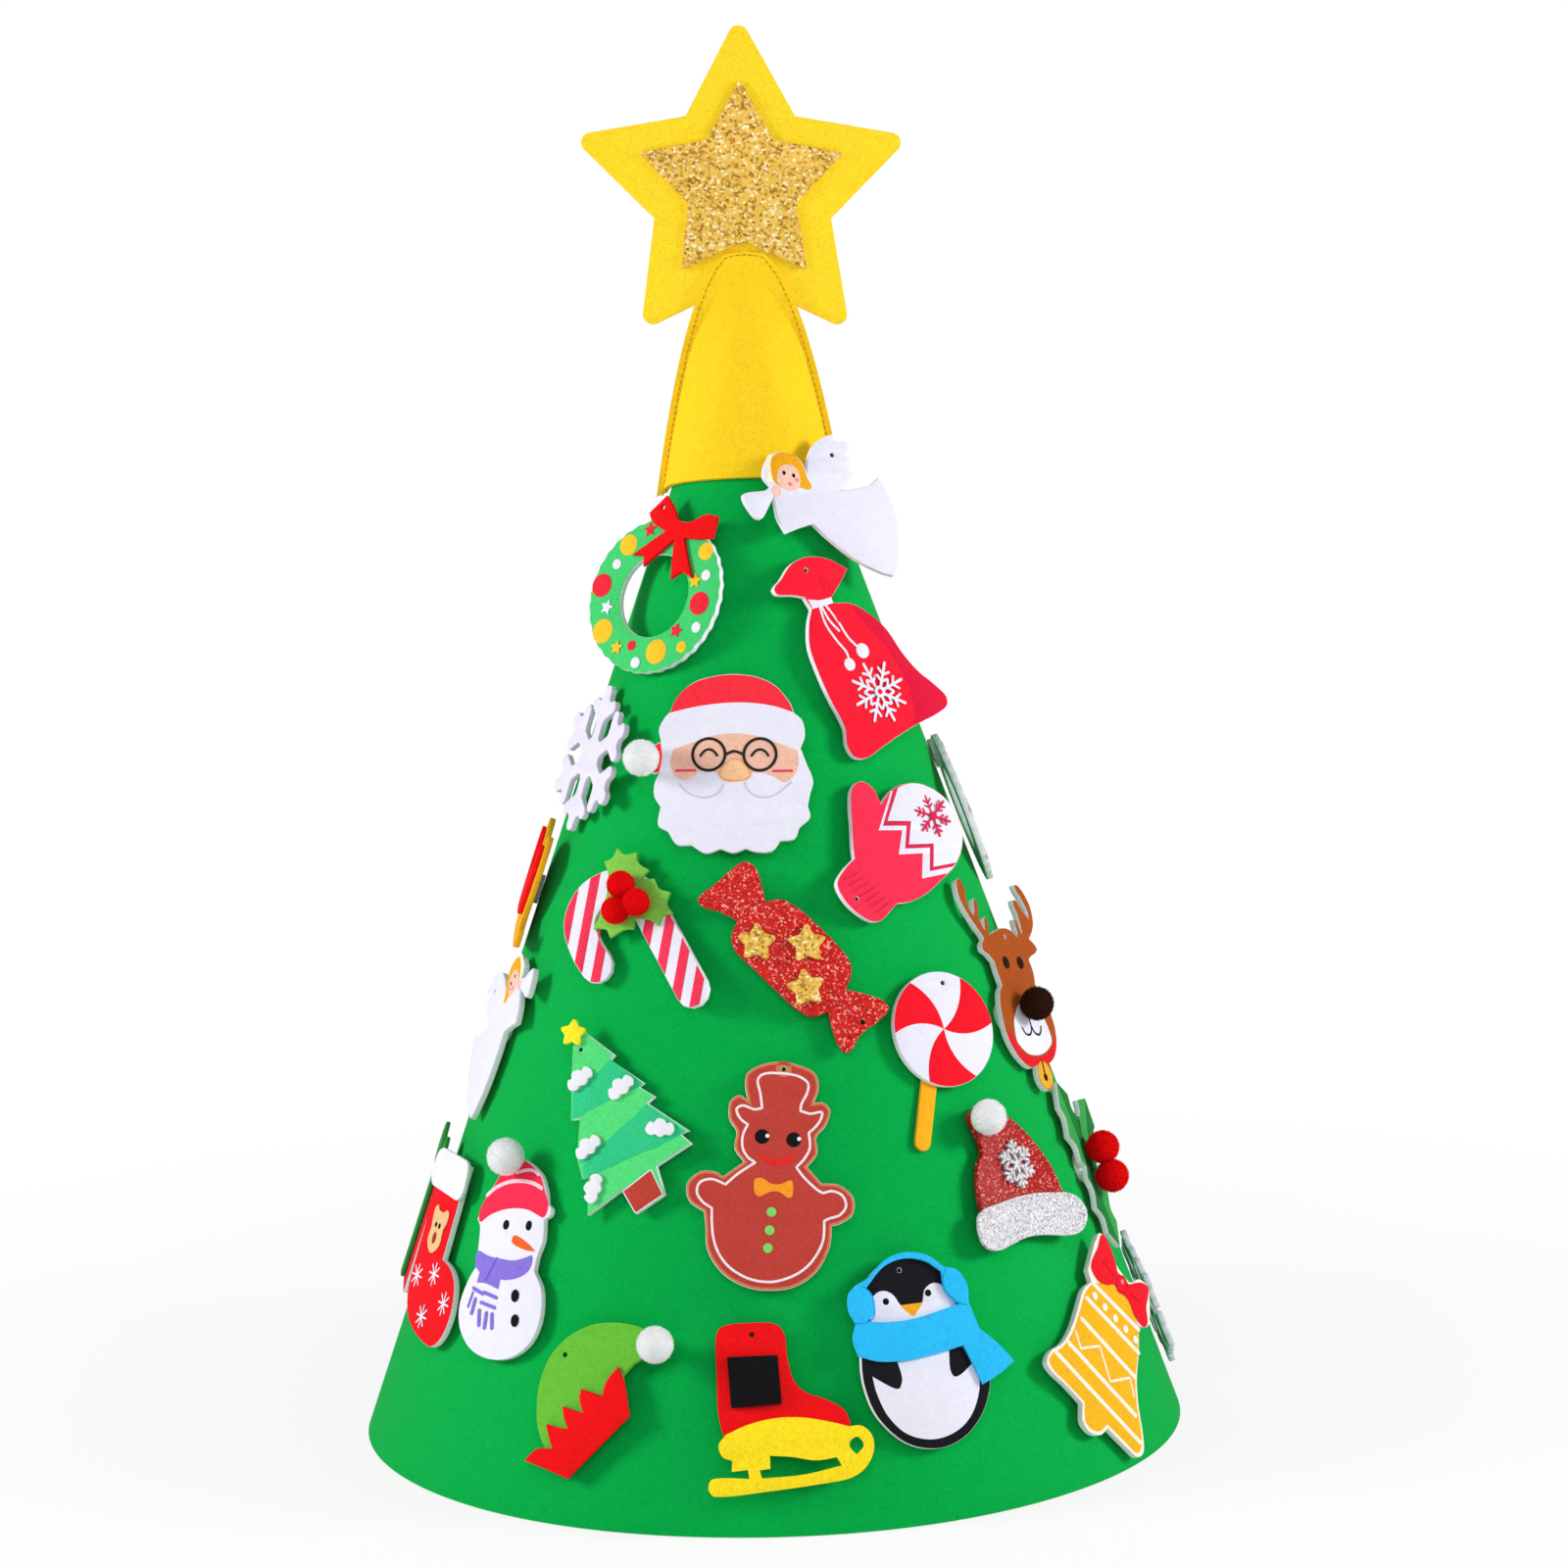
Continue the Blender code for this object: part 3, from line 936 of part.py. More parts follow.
def make_gingerbread():
    ornament("gingerbread", "gingerbread", [scaled(GINGERBREAD_SHARES, GINGERBREAD_SIZE)], BROWN,
             GINGERBREAD_SIZE)


def make_stocking():
    size = STOCKING_SIZE
    frame = ornament("stocking", "stocking", [scaled(STOCKING_SHARES, size)], RED, size)
    trim("stocking_cuff", frame, [rounded(scaled(CUFF_SHARES, size), CUFF_ROUND_SHARE * size)], WHITE)


def make_gift():
    size = GIFT_SIZE
    box = rounded(scaled(GIFT_SHARES, size), GIFT_ROUND_SHARE * size)
    frame = ornament("gift", "gift_box", [box], RED, size)
    trim("gift_bow", frame, [scaled(GIFT_BOW_SHARES, size)], GREEN)


def make_snowman():
    size = SNOWMAN_SIZE
    frame = ornament("snowman", "snowman", [scaled(SNOWMAN_SHARES, size)], WHITE, size)
    pompom = [(SNOWMAN_POMPOM_SHARES[0] * size, SNOWMAN_POMPOM_SHARES[1] * size)]
    ball("snowman_pompom", frame, pompom, SNOWMAN_POMPOM_RADIUS, WHITE, TRIM_BACK)


def make_elf_hat():
    size = ELF_HAT_SIZE
    frame = ornament("elf_hat", "elf_hat", [scaled(ELF_HAT_SHARES, size)], LIGHT_GREEN, size)
    trim("elf_hat_brim", frame, [scaled(ELF_BRIM_SHARES, size)], RED)
    pompom = [(ELF_POMPOM_SHARES[0] * size, ELF_POMPOM_SHARES[1] * size)]
    ball("elf_hat_pompom", frame, pompom, ELF_POMPOM_RADIUS, WHITE, TRIM_BACK)


def make_skate():
    size = SKATE_SIZE
    frame = ornament("skate", "skate_boot", [scaled(SKATE_SHARES, size)], RED, size)
    patch = [(x, y, True) for x, y, corner in scaled(SKATE_PATCH_SHARES, size)]
    trim("skate_patch", frame, [patch], BLACK)
    blade = [scaled(table, size) for table in (BLADE_SHARES, BLADE_SLOT_SHARES, BLADE_HOLE_SHARES)]
    trim("skate_blade", frame, blade, YELLOW)


def make_penguin():
    size = PENGUIN_SIZE
    frame = ornament("penguin", "penguin", [scaled(PENGUIN_SHARES, size)], BLACK, size)
    scarf = [scaled(SCARF_SHARES, size), scaled(SCARF_WINDOW_SHARES, size)]
    trim("penguin_scarf", frame, scarf, BLUE)


def make_bell():
    ornament("bell", "bell", [scaled(BELL_SHARES, BELL_SIZE)], ORANGE_YELLOW, BELL_SIZE)


def make_holly():
    """Three leaves joined where they meet under two berries."""
    size = HOLLY_SIZE
    leaves = [
        leaf_outline(start * size, math.radians(turn), LEAF_LENGTH_SHARE * size,
                     LEAF_HALF_WIDTH_SHARE * size, LEAF_SPIKES)
        for start, turn in HOLLY_LEAF_SHARES
    ]
    frame = ornament("holly", "holly", leaves[:1], GREEN, size)
    base = bpy.data.objects["holly"]
    for k, leaf in enumerate(leaves[1:]):
        name = f"holly_leaf_{k}"
        other = add_cutter(name, flat_mesh(name, [leaf], PLATE_BACK, ORNAMENT_FELT))
        seat(other, frame)
        boolean(base, other, 'UNION')
    centres = [(x * size, y * size) for x, y in HOLLY_BERRY_SHARES]
    ball("holly_berries", frame, centres, HOLLY_BERRY_RADIUS, RED, TRIM_BACK, BERRY_SIDES)


def make_sleigh():
    size = SLEIGH_SIZE
    frame = ornament("sleigh", "sleigh_runner", [scaled(SLEIGH_BASE_SHARES, size)], ORANGE_YELLOW, size)
    trim("sleigh_body", frame, [scaled(SLEIGH_SHARES, size)], RED)


def main():
    clear_scene()
    make_cone()
    make_tape()
    make_cap()
    make_star()
    for make in (make_wreath, make_angels, make_sack, make_santa, make_snowflakes, make_mitten, make_cane,
                 make_candy, make_lollipop, make_reindeer, make_hat, make_fir, make_gingerbread,
                 make_stocking, make_gift, make_snowman, make_elf_hat, make_skate, make_penguin, make_bell,
                 make_holly, make_second_wreath, make_sleigh):
        make()
    bpy.context.view_layer.update()


main()
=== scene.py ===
"""How the felt Christmas tree looks: the sheet, the topper and every stick-on ornament, in metres."""
import math

import bmesh
import bpy
from mathutils import Euler, Matrix, Vector


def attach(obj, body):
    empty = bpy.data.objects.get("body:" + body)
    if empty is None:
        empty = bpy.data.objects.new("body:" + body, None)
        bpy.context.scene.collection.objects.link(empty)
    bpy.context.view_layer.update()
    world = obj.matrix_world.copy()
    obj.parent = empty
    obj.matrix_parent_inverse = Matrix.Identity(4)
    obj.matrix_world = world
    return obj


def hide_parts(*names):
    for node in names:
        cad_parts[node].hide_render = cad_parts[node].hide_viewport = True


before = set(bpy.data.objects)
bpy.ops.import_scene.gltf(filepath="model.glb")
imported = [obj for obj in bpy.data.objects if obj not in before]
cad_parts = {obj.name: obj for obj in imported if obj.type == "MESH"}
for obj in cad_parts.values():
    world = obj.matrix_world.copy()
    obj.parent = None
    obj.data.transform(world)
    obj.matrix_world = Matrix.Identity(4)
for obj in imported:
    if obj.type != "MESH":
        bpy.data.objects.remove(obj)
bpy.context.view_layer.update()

# The tree is one sheet of 3 mm needle-punched polyester felt, cut to a fan and rolled into a cone that
# stands on its own rim. A tape on the back closes the lap, and the tip stays open under the topper.
BASE_RADIUS = 0.207
APEX_HEIGHT = 0.582
OPEN_TIP_HEIGHT = 0.548
SHEET_THICKNESS = 0.003
LAP_DEGREES = 14
RAMP_DEGREES = 16
TAPE_THICKNESS = 0.0012
SEAT_GAP = 0.0003
SLOPE = math.atan(BASE_RADIUS / APEX_HEIGHT)
MM = 0.001
FIBRE_SCALE = 740
CLOUD_SCALE = 160
FIBRE_SHADE = 0.24
FIBRE_SHINE = 0.12
NAP_DEPTH = 0.0006
NAP_STRENGTH = 0.32
SLACK = 0.00016
SLACK_WAVES = 7
SOFT_EDGE = 0.0005
SHARP_TURN = 0.7


def cone_radius(height):
    return BASE_RADIUS * (1 - height / APEX_HEIGHT)


def linear(shade):
    """A hex shade as the linear colour that a shader takes."""
    parts = [int(shade[k:k + 2], 16) / 255 for k in (0, 2, 4)]
    return [c / 12.92 if c <= 0.04045 else ((c + 0.055) / 1.055) ** 2.4 for c in parts]


def ramp(tree, stops):
    node = tree.nodes.new("ShaderNodeValToRGB")
    marks = node.color_ramp.elements
    while len(marks) < len(stops):
        marks.new(0.5)
    for mark, (place, colour) in zip(marks, stops):
        mark.position = place
        mark.color = (*colour, 1.0)
    return node


def set_inputs(node, **values):
    """Set a node's inputs by name, with underscores for spaces."""
    for label, value in values.items():
        node.inputs[label.replace("_", " ")].default_value = value
    return node


def wire(tree, *pairs):
    for out, into in pairs:
        tree.links.new(out, into)


def new_look(name):
    look = bpy.data.materials.new(name)
    look.use_nodes = True
    return look, look.node_tree, look.node_tree.nodes["Principled BSDF"]


def felt(name, shade, fuzz=1.0, mottle=1.0):
    """Matte felt: fine matted fibres, faint clouds of uneven dye and a soft nap at the edges."""
    look, tree, shader = new_look(name)
    place = tree.nodes.new("ShaderNodeTexCoord")
    fibres = set_inputs(tree.nodes.new("ShaderNodeTexNoise"), Scale=FIBRE_SCALE, Detail=4, Roughness=0.72,
                        Distortion=1.4)
    clouds = set_inputs(tree.nodes.new("ShaderNodeTexNoise"), Scale=CLOUD_SCALE, Detail=3)
    base = Vector(linear(shade))
    pale = ramp(tree, [(0.3, base * (1 - FIBRE_SHADE * mottle)), (0.5, base),
                       (0.72, base * (1 + FIBRE_SHINE * mottle))])
    dye = ramp(tree, [(0.35, (0.97, 0.97, 0.97)), (0.65, (1.0, 1.0, 1.0))])
    mix = tree.nodes.new("ShaderNodeMix")
    mix.data_type = 'RGBA'
    mix.blend_type = 'MULTIPLY'
    set_inputs(mix, Factor=1.0)
    bump = set_inputs(tree.nodes.new("ShaderNodeBump"), Strength=NAP_STRENGTH * fuzz, Distance=NAP_DEPTH)
    wire(tree, (place.outputs["Object"], fibres.inputs["Vector"]), (place.outputs["Object"], clouds.inputs["Vector"]),
         (fibres.outputs["Fac"], pale.inputs["Fac"]), (clouds.outputs["Fac"], dye.inputs["Fac"]),
         (pale.outputs["Color"], mix.inputs[6]), (dye.outputs["Color"], mix.inputs[7]),
         (mix.outputs[2], shader.inputs["Base Color"]), (fibres.outputs["Fac"], bump.inputs["Height"]),
         (bump.outputs["Normal"], shader.inputs["Normal"]))
    set_inputs(shader, Roughness=0.92, Specular_IOR_Level=0.06, Sheen_Weight=0.03, Sheen_Roughness=0.45)
    return look


def linked(item):
    bpy.context.scene.collection.objects.link(item)
    return item


def evaluated(item):
    """The mesh that an object's modifiers make. The object itself is taken away again."""
    mesh = bpy.data.meshes.new_from_object(item.evaluated_get(bpy.context.evaluated_depsgraph_get()))
    bpy.data.objects.remove(item, do_unlink=True)
    return mesh


def written(shape, mesh):
    shape.to_mesh(mesh)
    shape.free()
    return mesh


def sheet_mesh(name, columns, rows, place):
    """An open grid whose points are set by two shares from 0 to 1."""
    shape = bmesh.new()
    bmesh.ops.create_grid(shape, x_segments=columns, y_segments=rows, size=0.5)
    for vert in shape.verts:
        vert.co = place(vert.co.x + 0.5, vert.co.y + 0.5)
    return written(shape, bpy.data.meshes.new(name))


def thickened(mesh, thickness, offset, edge):
    """The mesh of an open sheet given its thickness and softened edges."""
    item = linked(bpy.data.objects.new(mesh.name, mesh))
    wall = item.modifiers.new("wall", 'SOLIDIFY')
    wall.thickness = thickness
    wall.offset = offset
    soft = item.modifiers.new("soft", 'BEVEL')
    soft.width = edge
    soft.segments = 2
    soft.limit_method = 'ANGLE'
    soft.angle_limit = 1.0
    return evaluated(item)


def finish_piece(name, mesh, body, nodes, finishes):
    """Put a finished mesh in the scene, in place of its solids, on its body."""
    piece = linked(bpy.data.objects.new(name, mesh))
    if not mesh.materials:
        for look in finishes:
            mesh.materials.append(look)
    mesh.shade_smooth()
    mesh.set_sharp_from_angle(angle=SHARP_TURN)
    if nodes:
        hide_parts(*nodes)
    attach(piece, body)
    return piece


def cone_point(azimuth, height, depth):
    reach = cone_radius(height) - depth / math.cos(SLOPE)
    return Vector((reach * math.sin(azimuth), -reach * math.cos(azimuth), height))


def rolled_point(along, up):
    """A point of the rolled sheet's outer face: its first end is tucked behind the last one."""
    lap = math.radians(LAP_DEGREES)
    turn = along * (2 * math.pi + lap)
    share = min(max((turn - lap) / math.radians(RAMP_DEGREES), 0.0), 1.0)
    tuck = SHEET_THICKNESS + TAPE_THICKNESS + 2 * SEAT_GAP
    depth = tuck * (1 - share * share * (3 - 2 * share))
    slack = SLACK * (1 - math.cos(turn * SLACK_WAVES)) * (1 - 0.6 * up) * min(share, 1.0)
    return cone_point(math.pi - lap / 2 + turn, up * OPEN_TIP_HEIGHT, depth + slack)


green_felt = felt("green felt", "02A847")
rolled = thickened(sheet_mesh("rolled_sheet", 400, 60, rolled_point), SHEET_THICKNESS, -1.0, SOFT_EDGE)
for vert in rolled.vertices:
    vert.co.z = min(max(vert.co.z, 0.0), OPEN_TIP_HEIGHT)
finish_piece("rolled_felt_sheet", rolled, "tree", ["cone_felt"], [green_felt])

# The lap is held by a strip of green hook tape, a woven band with rows of tiny nylon hooks. It is
# sewn to the tucked end and meets the outer end's felt, so only its edge can be seen.
TAPE_DEGREES = 7
TAPE_FOOT_HEIGHT = 0.02
TAPE_TOP_HEIGHT = 0.44


def hook_tape(name, shade):
    """Nylon hook tape: a grid of small round hook tops on a woven band."""
    look = felt(name, shade, 0.5)
    tree = look.node_tree
    hooks = set_inputs(tree.nodes.new("ShaderNodeTexVoronoi"), Scale=900, Randomness=0.15)
    bump = set_inputs(tree.nodes["Bump"], Strength=0.8)
    wire(tree, (tree.nodes["Texture Coordinate"].outputs["Object"], hooks.inputs["Vector"]),
         (hooks.outputs["Distance"], bump.inputs["Height"]))
    return look


def tape_point(along, up):
    azimuth = math.pi + (along - 0.5) * math.radians(TAPE_DEGREES)
    height = TAPE_FOOT_HEIGHT + up * (TAPE_TOP_HEIGHT - TAPE_FOOT_HEIGHT)
    return cone_point(azimuth, height, SHEET_THICKNESS + SEAT_GAP)


tape = thickened(sheet_mesh("lap_tape", 10, 40, tape_point), TAPE_THICKNESS, -1.0, 0.0002)
finish_piece("lap_hook_tape", tape, "tree", ["closure_tape"], [hook_tape("green hook tape", "118A3E")])

# The topper's cap is two arched panels of yellow felt, laid face to face and sewn along their flat
# side seams. Below it opens round the cone, and its tip closes on the foot of the star.
CAP_TIP_HEIGHT = 0.590
CAP_LENGTH = 0.1215
CAP_HALF_WIDTH = 0.0465
CAP_WIDTH_POWER = 0.42
CAP_HEM_RISE = 0.010
CAP_SEAM = 0.005
CAP_FELT = 0.0025
CAP_CLEARANCE = 0.0008
CAP_STAR_DEPTH = 0.030
CAP_SPREAD_LENGTH = 0.020
CAP_TOP_GAP = 0.0005
CAP_TOP_RISE = 0.0025
CAP_ROW_POWER = 1.5
ARC_STEPS = 48
SIDE_STEPS = 8
SEAM_STEPS = 4
STAR_FELT = 0.003
THREAD_RADIUS = 0.00028
STITCH_LENGTH = 0.0021
STITCH_STEP = 0.0031
STITCH_INSET = 0.0030
STITCH_HEM = 0.0015
ARCH_DEPTH = 0.007
ARCH_RISE = 0.0035
ROW_STEPS = 60
ARCH_STEPS = 16


def cap_width(depth):
    return CAP_HALF_WIDTH * (depth / CAP_LENGTH) ** CAP_WIDTH_POWER


def cap_gap(depth):
    """Half the space between the two seams: the star's felt fills it at the tip."""
    spread = min(max((depth - CAP_STAR_DEPTH) / CAP_SPREAD_LENGTH, 0.0), 1.0)
    return (STAR_FELT / 2 + SEAT_GAP) * (1 - spread) + SEAT_GAP / 2 * spread


def cap_section(depth, share):
    """A panel's inner face at one depth: seam, straight side, round the cone and back."""
    width = cap_width(depth)
    seam = min(CAP_SEAM, width * 0.4)
    inner = width - seam
    radius = min(max(cone_radius(CAP_TIP_HEIGHT - depth) + CAP_CLEARANCE, 0.0), inner * 0.995)
    radius = max(radius, inner * 0.05)
    touch = math.acos(radius / inner)
    step = abs(share - 0.5) * 2 * (ARC_STEPS / 2 + SIDE_STEPS + SEAM_STEPS)
    if step <= ARC_STEPS / 2:
        angle = math.pi / 2 - step / (ARC_STEPS / 2) * (math.pi / 2 - touch)
        x, y = radius * math.cos(angle), radius * math.sin(angle)
    elif step <= ARC_STEPS / 2 + SIDE_STEPS:
        part = (step - ARC_STEPS / 2) / SIDE_STEPS
        x = radius * math.cos(touch) * (1 - part) + inner * part
        y = radius * math.sin(touch) * (1 - part)
    else:
        x, y = inner + seam * (step - ARC_STEPS / 2 - SIDE_STEPS) / SEAM_STEPS, 0.0
    return math.copysign(x, share - 0.5), max(y, cap_gap(depth))


def panel_point(side):
    def place(across, up):
        edge_share = (2 * across - 1) ** 2
        top = CAP_TOP_GAP + CAP_TOP_RISE * edge_share
        hem = CAP_LENGTH - CAP_HEM_RISE * (1 - edge_share)
        depth = top + (hem - top) * (1 - up) ** CAP_ROW_POWER
        x, y = cap_section(depth, across)
        return Vector((-side * x, side * y, CAP_TIP_HEIGHT - depth))
    return place


def grow(base, build, **inputs):
    """Run a Geometry Nodes tree on a mesh and give back the plain mesh that it makes."""
    tree = bpy.data.node_groups.new("grow", 'GeometryNodeTree')
    tree.interface.new_socket("Geometry", in_out='INPUT', socket_type='NodeSocketGeometry')
    tree.interface.new_socket("Geometry", in_out='OUTPUT', socket_type='NodeSocketGeometry')
    kinds = {float: 'NodeSocketFloat', int: 'NodeSocketInt', bpy.types.Material: 'NodeSocketMaterial'}
    sockets = {}
    for label, value in inputs.items():
        sockets[label] = tree.interface.new_socket(label.replace("_", " "), in_out='INPUT',
                                                   socket_type=kinds[type(value)])
    start, end = tree.nodes.new("NodeGroupInput"), tree.nodes.new("NodeGroupOutput")
    real = tree.nodes.new("GeometryNodeRealizeInstances")
    coat = tree.nodes.new("GeometryNodeSetMaterial")
    wire(tree, (build(tree, start), real.inputs["Geometry"]), (real.outputs["Geometry"], coat.inputs["Geometry"]),
         (start.outputs["finish"], coat.inputs["Material"]), (coat.outputs["Geometry"], end.inputs["Geometry"]))
    item = linked(bpy.data.objects.new("grower", base))
    change = item.modifiers.new("grow", 'NODES')
    change.node_group = tree
    for label, value in inputs.items():
        change[sockets[label].identifier] = value
    return evaluated(item)


def stitch_row(tree, start):
    """Short rounded stitches at even steps along a path."""
    path = tree.nodes.new("GeometryNodeMeshToCurve")
    steps = tree.nodes.new("GeometryNodeResampleCurve")
    if hasattr(steps, "mode"):
        steps.mode = 'LENGTH'
    thread = set_inputs(tree.nodes.new("GeometryNodeMeshCylinder"), Vertices=6, Side_Segments=3)
    tangent = tree.nodes.new("GeometryNodeInputTangent")
    turn = tree.nodes.new("FunctionNodeAlignRotationToVector")
    turn.axis = 'Z'
    copies = tree.nodes.new("GeometryNodeInstanceOnPoints")
    wire(tree, (start.outputs["Geometry"], path.inputs[0]), (path.outputs[0], steps.inputs["Curve"]),
         (start.outputs["step"], steps.inputs["Length"]), (start.outputs["length"], thread.inputs["Depth"]),
         (start.outputs["thickness"], thread.inputs["Radius"]), (tangent.outputs[0], turn.inputs["Vector"]),
         (steps.outputs[0], copies.inputs["Points"]), (thread.outputs["Mesh"], copies.inputs["Instance"]),
         (turn.outputs[0], copies.inputs["Rotation"]))
    return copies.outputs["Instances"]


def path_mesh(name, points):
    mesh = bpy.data.meshes.new(name)
    mesh.from_pydata(points, [(k, k + 1) for k in range(len(points) - 1)], [])
    return mesh


cap_yellow = felt("cap yellow felt", "FCD022")
yellow_thread = felt("ochre thread", "C78A12", 0.4)
for name, side in (("front", -1), ("back", 1)):
    panel = thickened(sheet_mesh("panel", 120, 60, panel_point(side)), CAP_FELT, 1.0, SOFT_EDGE)
    finish_piece(f"cap_{name}_panel", panel, "topper", [f"cap_{name}"], [cap_yellow])
    half_row = []
    for k in range(ROW_STEPS + 1):
        depth = ARCH_DEPTH + (CAP_LENGTH - STITCH_HEM - ARCH_DEPTH) * k / ROW_STEPS
        half_row.append((cap_width(depth) - STITCH_INSET, side * (cap_gap(depth) + CAP_FELT),
                         CAP_TIP_HEIGHT - depth))
    reach, level, foot = half_row[0]
    arch = []
    for k in range(1, ARCH_STEPS):
        turn = math.pi * k / ARCH_STEPS
        arch.append((-reach * math.cos(turn), level, foot + ARCH_RISE * math.sin(turn)))
    row = [(-x, y, z) for x, y, z in reversed(half_row)] + arch + half_row
    seam = grow(path_mesh("seam", row), stitch_row, step=STITCH_STEP, length=STITCH_LENGTH, thickness=THREAD_RADIUS,
                finish=yellow_thread)
    finish_piece(f"cap_{name}_stitches", seam, "topper", [], [yellow_thread])

# Flat felt shapes are stamped with a steel rule die, so their edges are square and a little soft.
# The star is one such shape of yellow felt, caught between the tips of the cap's panels.
STAR_CENTRE_HEIGHT = 0.6180
STAR_LEAN = -1.5
STAR_SLANT = 0.023
STAR_SQUASH = 0.972
TIP_STEPS = 8
INK_STEP = 0.03
INK_FOOT = 0.12
INK_RISE = 0.02
WELD = 0.0005


def disc(x, y, radius, sides=40):
    turns = [2 * math.pi * k / sides for k in range(sides)]
    return [(x + radius * math.cos(a), y + radius * math.sin(a)) for a in turns]


def oval(x, y, wide, tall, lean=0.0, sides=32):
    spin = Matrix.Rotation(math.radians(lean), 2)
    turns = [2 * math.pi * k / sides for k in range(sides)]
    return [tuple(spin @ Vector((wide * math.cos(a), tall * math.sin(a))) + Vector((x, y))) for a in turns]


def rounded(points, radius, steps=4):
    """A polygon whose corners are small arcs."""
    result = []
    for k, point in enumerate(points):
        here = Vector(point[:2])
        before = (Vector(points[k - 1][:2]) - here).normalized()
        after = (Vector(points[(k + 1) % len(points)][:2]) - here).normalized()
        half = before.angle(after) / 2
        centre = here + (before + after).normalized() * radius / math.sin(half)
        first = here + before * radius / math.tan(half) - centre
        last = here + after * radius / math.tan(half) - centre
        for step in range(steps + 1):
            result.append(tuple(centre + first.lerp(last, step / steps).normalized() * radius))
    return result


def star(x, y, radius, notch, tip_round, lean=0.0):
    """A five-pointed star with round tips and sharp notches."""
    spin = Matrix.Rotation(math.radians(lean), 2)
    points = []
    for k in range(10):
        reach = radius if k % 2 == 0 else radius * notch
        angle = math.pi / 2 - k * math.pi / 5
        points.append(Vector((reach * math.cos(angle), reach * math.sin(angle))))
    soft = rounded(points, tip_round, TIP_STEPS)
    result = []
    for k, point in enumerate(points):
        result += soft[(TIP_STEPS + 1) * k:(TIP_STEPS + 1) * (k + 1)] if k % 2 == 0 else [point]
    return [tuple(spin @ Vector(p) + Vector((x, y))) for p in result]


def slanted(points):
    """The topper's stars are cut a little askew and squat."""
    return [(x - STAR_SLANT * y, STAR_SQUASH * y) for x, y in points]


def flat_shape(outlines, back, front, edge, inset=0.0):
    """A stamped plate in the drawing's millimetres, with softened edges."""
    curve = bpy.data.curves.new("outline", 'CURVE')
    curve.dimensions = '2D'
    curve.fill_mode = 'BOTH'
    curve.bevel_depth = edge
    curve.bevel_resolution = 1
    curve.offset = -edge - inset
    curve.extrude = (front - back) / 2 - edge
    for outline in outlines:
        spline = curve.splines.new('POLY')
        spline.points.add(len(outline) - 1)
        spline.use_cyclic_u = True
        for point, place in zip(spline.points, outline):
            point.co = (place[0], place[1], 0.0, 1.0)
    mesh = evaluated(linked(bpy.data.objects.new("outline", curve)))
    bpy.data.curves.remove(curve)
    shape = bmesh.new()
    shape.from_mesh(mesh)
    bmesh.ops.remove_doubles(shape, verts=shape.verts, dist=WELD)
    bmesh.ops.recalc_face_normals(shape, faces=shape.faces)
    bmesh.ops.translate(shape, verts=shape.verts, vec=(0.0, 0.0, (back + front) / 2))
    return written(shape, mesh)


class Cutout:
    """Felt shapes of one ornament, drawn in millimetres in its own frame and joined into one piece."""

    def __init__(self, to_world):
        self.to_world = to_world
        self.shape = bmesh.new()
        self.finishes = []
        self.top = 0.0

    def add_mesh(self, mesh, finish, turn=None):
        """Join a mesh in the drawing's millimetres."""
        if turn is not None:
            mesh.transform(turn)
        if finish not in self.finishes:
            self.finishes.append(finish)
        before = len(self.shape.faces)
        self.shape.from_mesh(mesh)
        self.shape.faces.ensure_lookup_table()
        for face in self.shape.faces[before:]:
            face.material_index = self.finishes.index(finish)
        bpy.data.meshes.remove(mesh)

    def cut(self, finish, outlines, back, front, edge=0.3, inset=0.0):
        """A plate of felt from one level to another."""
        self.add_mesh(flat_shape(outlines, back, front, edge, inset), finish)
        self.top = front

    def ink(self, finish, *outlines, inset=0.0):
        """A printed area: a skin of colour on what lies below it."""
        self.top += INK_STEP
        self.add_mesh(flat_shape(list(outlines), self.top - INK_FOOT, self.top + INK_RISE, 0.03, inset), finish)

    def done(self, name, body, *nodes):
        mesh = written(self.shape, bpy.data.meshes.new(name))
        mesh.transform(self.to_world)
        self.shape, looks, self.finishes = bmesh.new(), self.finishes, []
        return finish_piece(name, mesh, body, list(nodes), looks)


upright = Euler((math.pi / 2, 0.0, 0.0)).to_matrix().to_4x4()
star_frame = Matrix.Translation((0.0, 0.0, STAR_CENTRE_HEIGHT)) @ upright @ Matrix.Scale(MM, 4)
topper_star = Cutout(star_frame)
star_felt = felt("star yellow felt", "FEDA2A")
topper_star.cut(star_felt, [slanted(star(0, 0, 88, 0.52, 5.0, STAR_LEAN))], -1.5, 1.5, 0.4)
topper_star.done("felt_star", "topper", "star")

# A smaller star of gold glitter felt is glued on the first one's front. Its face is a bed of coarse
# metal-coated flakes in glue, so single flakes stand up and catch the light.
FLAKE_DENSITY = 0.55
FLAKE_SIZE = 0.34
FLAKE_TILT = 0.55
FLAKE_RISE = 0.05
SMALLEST_COPY = 0.6


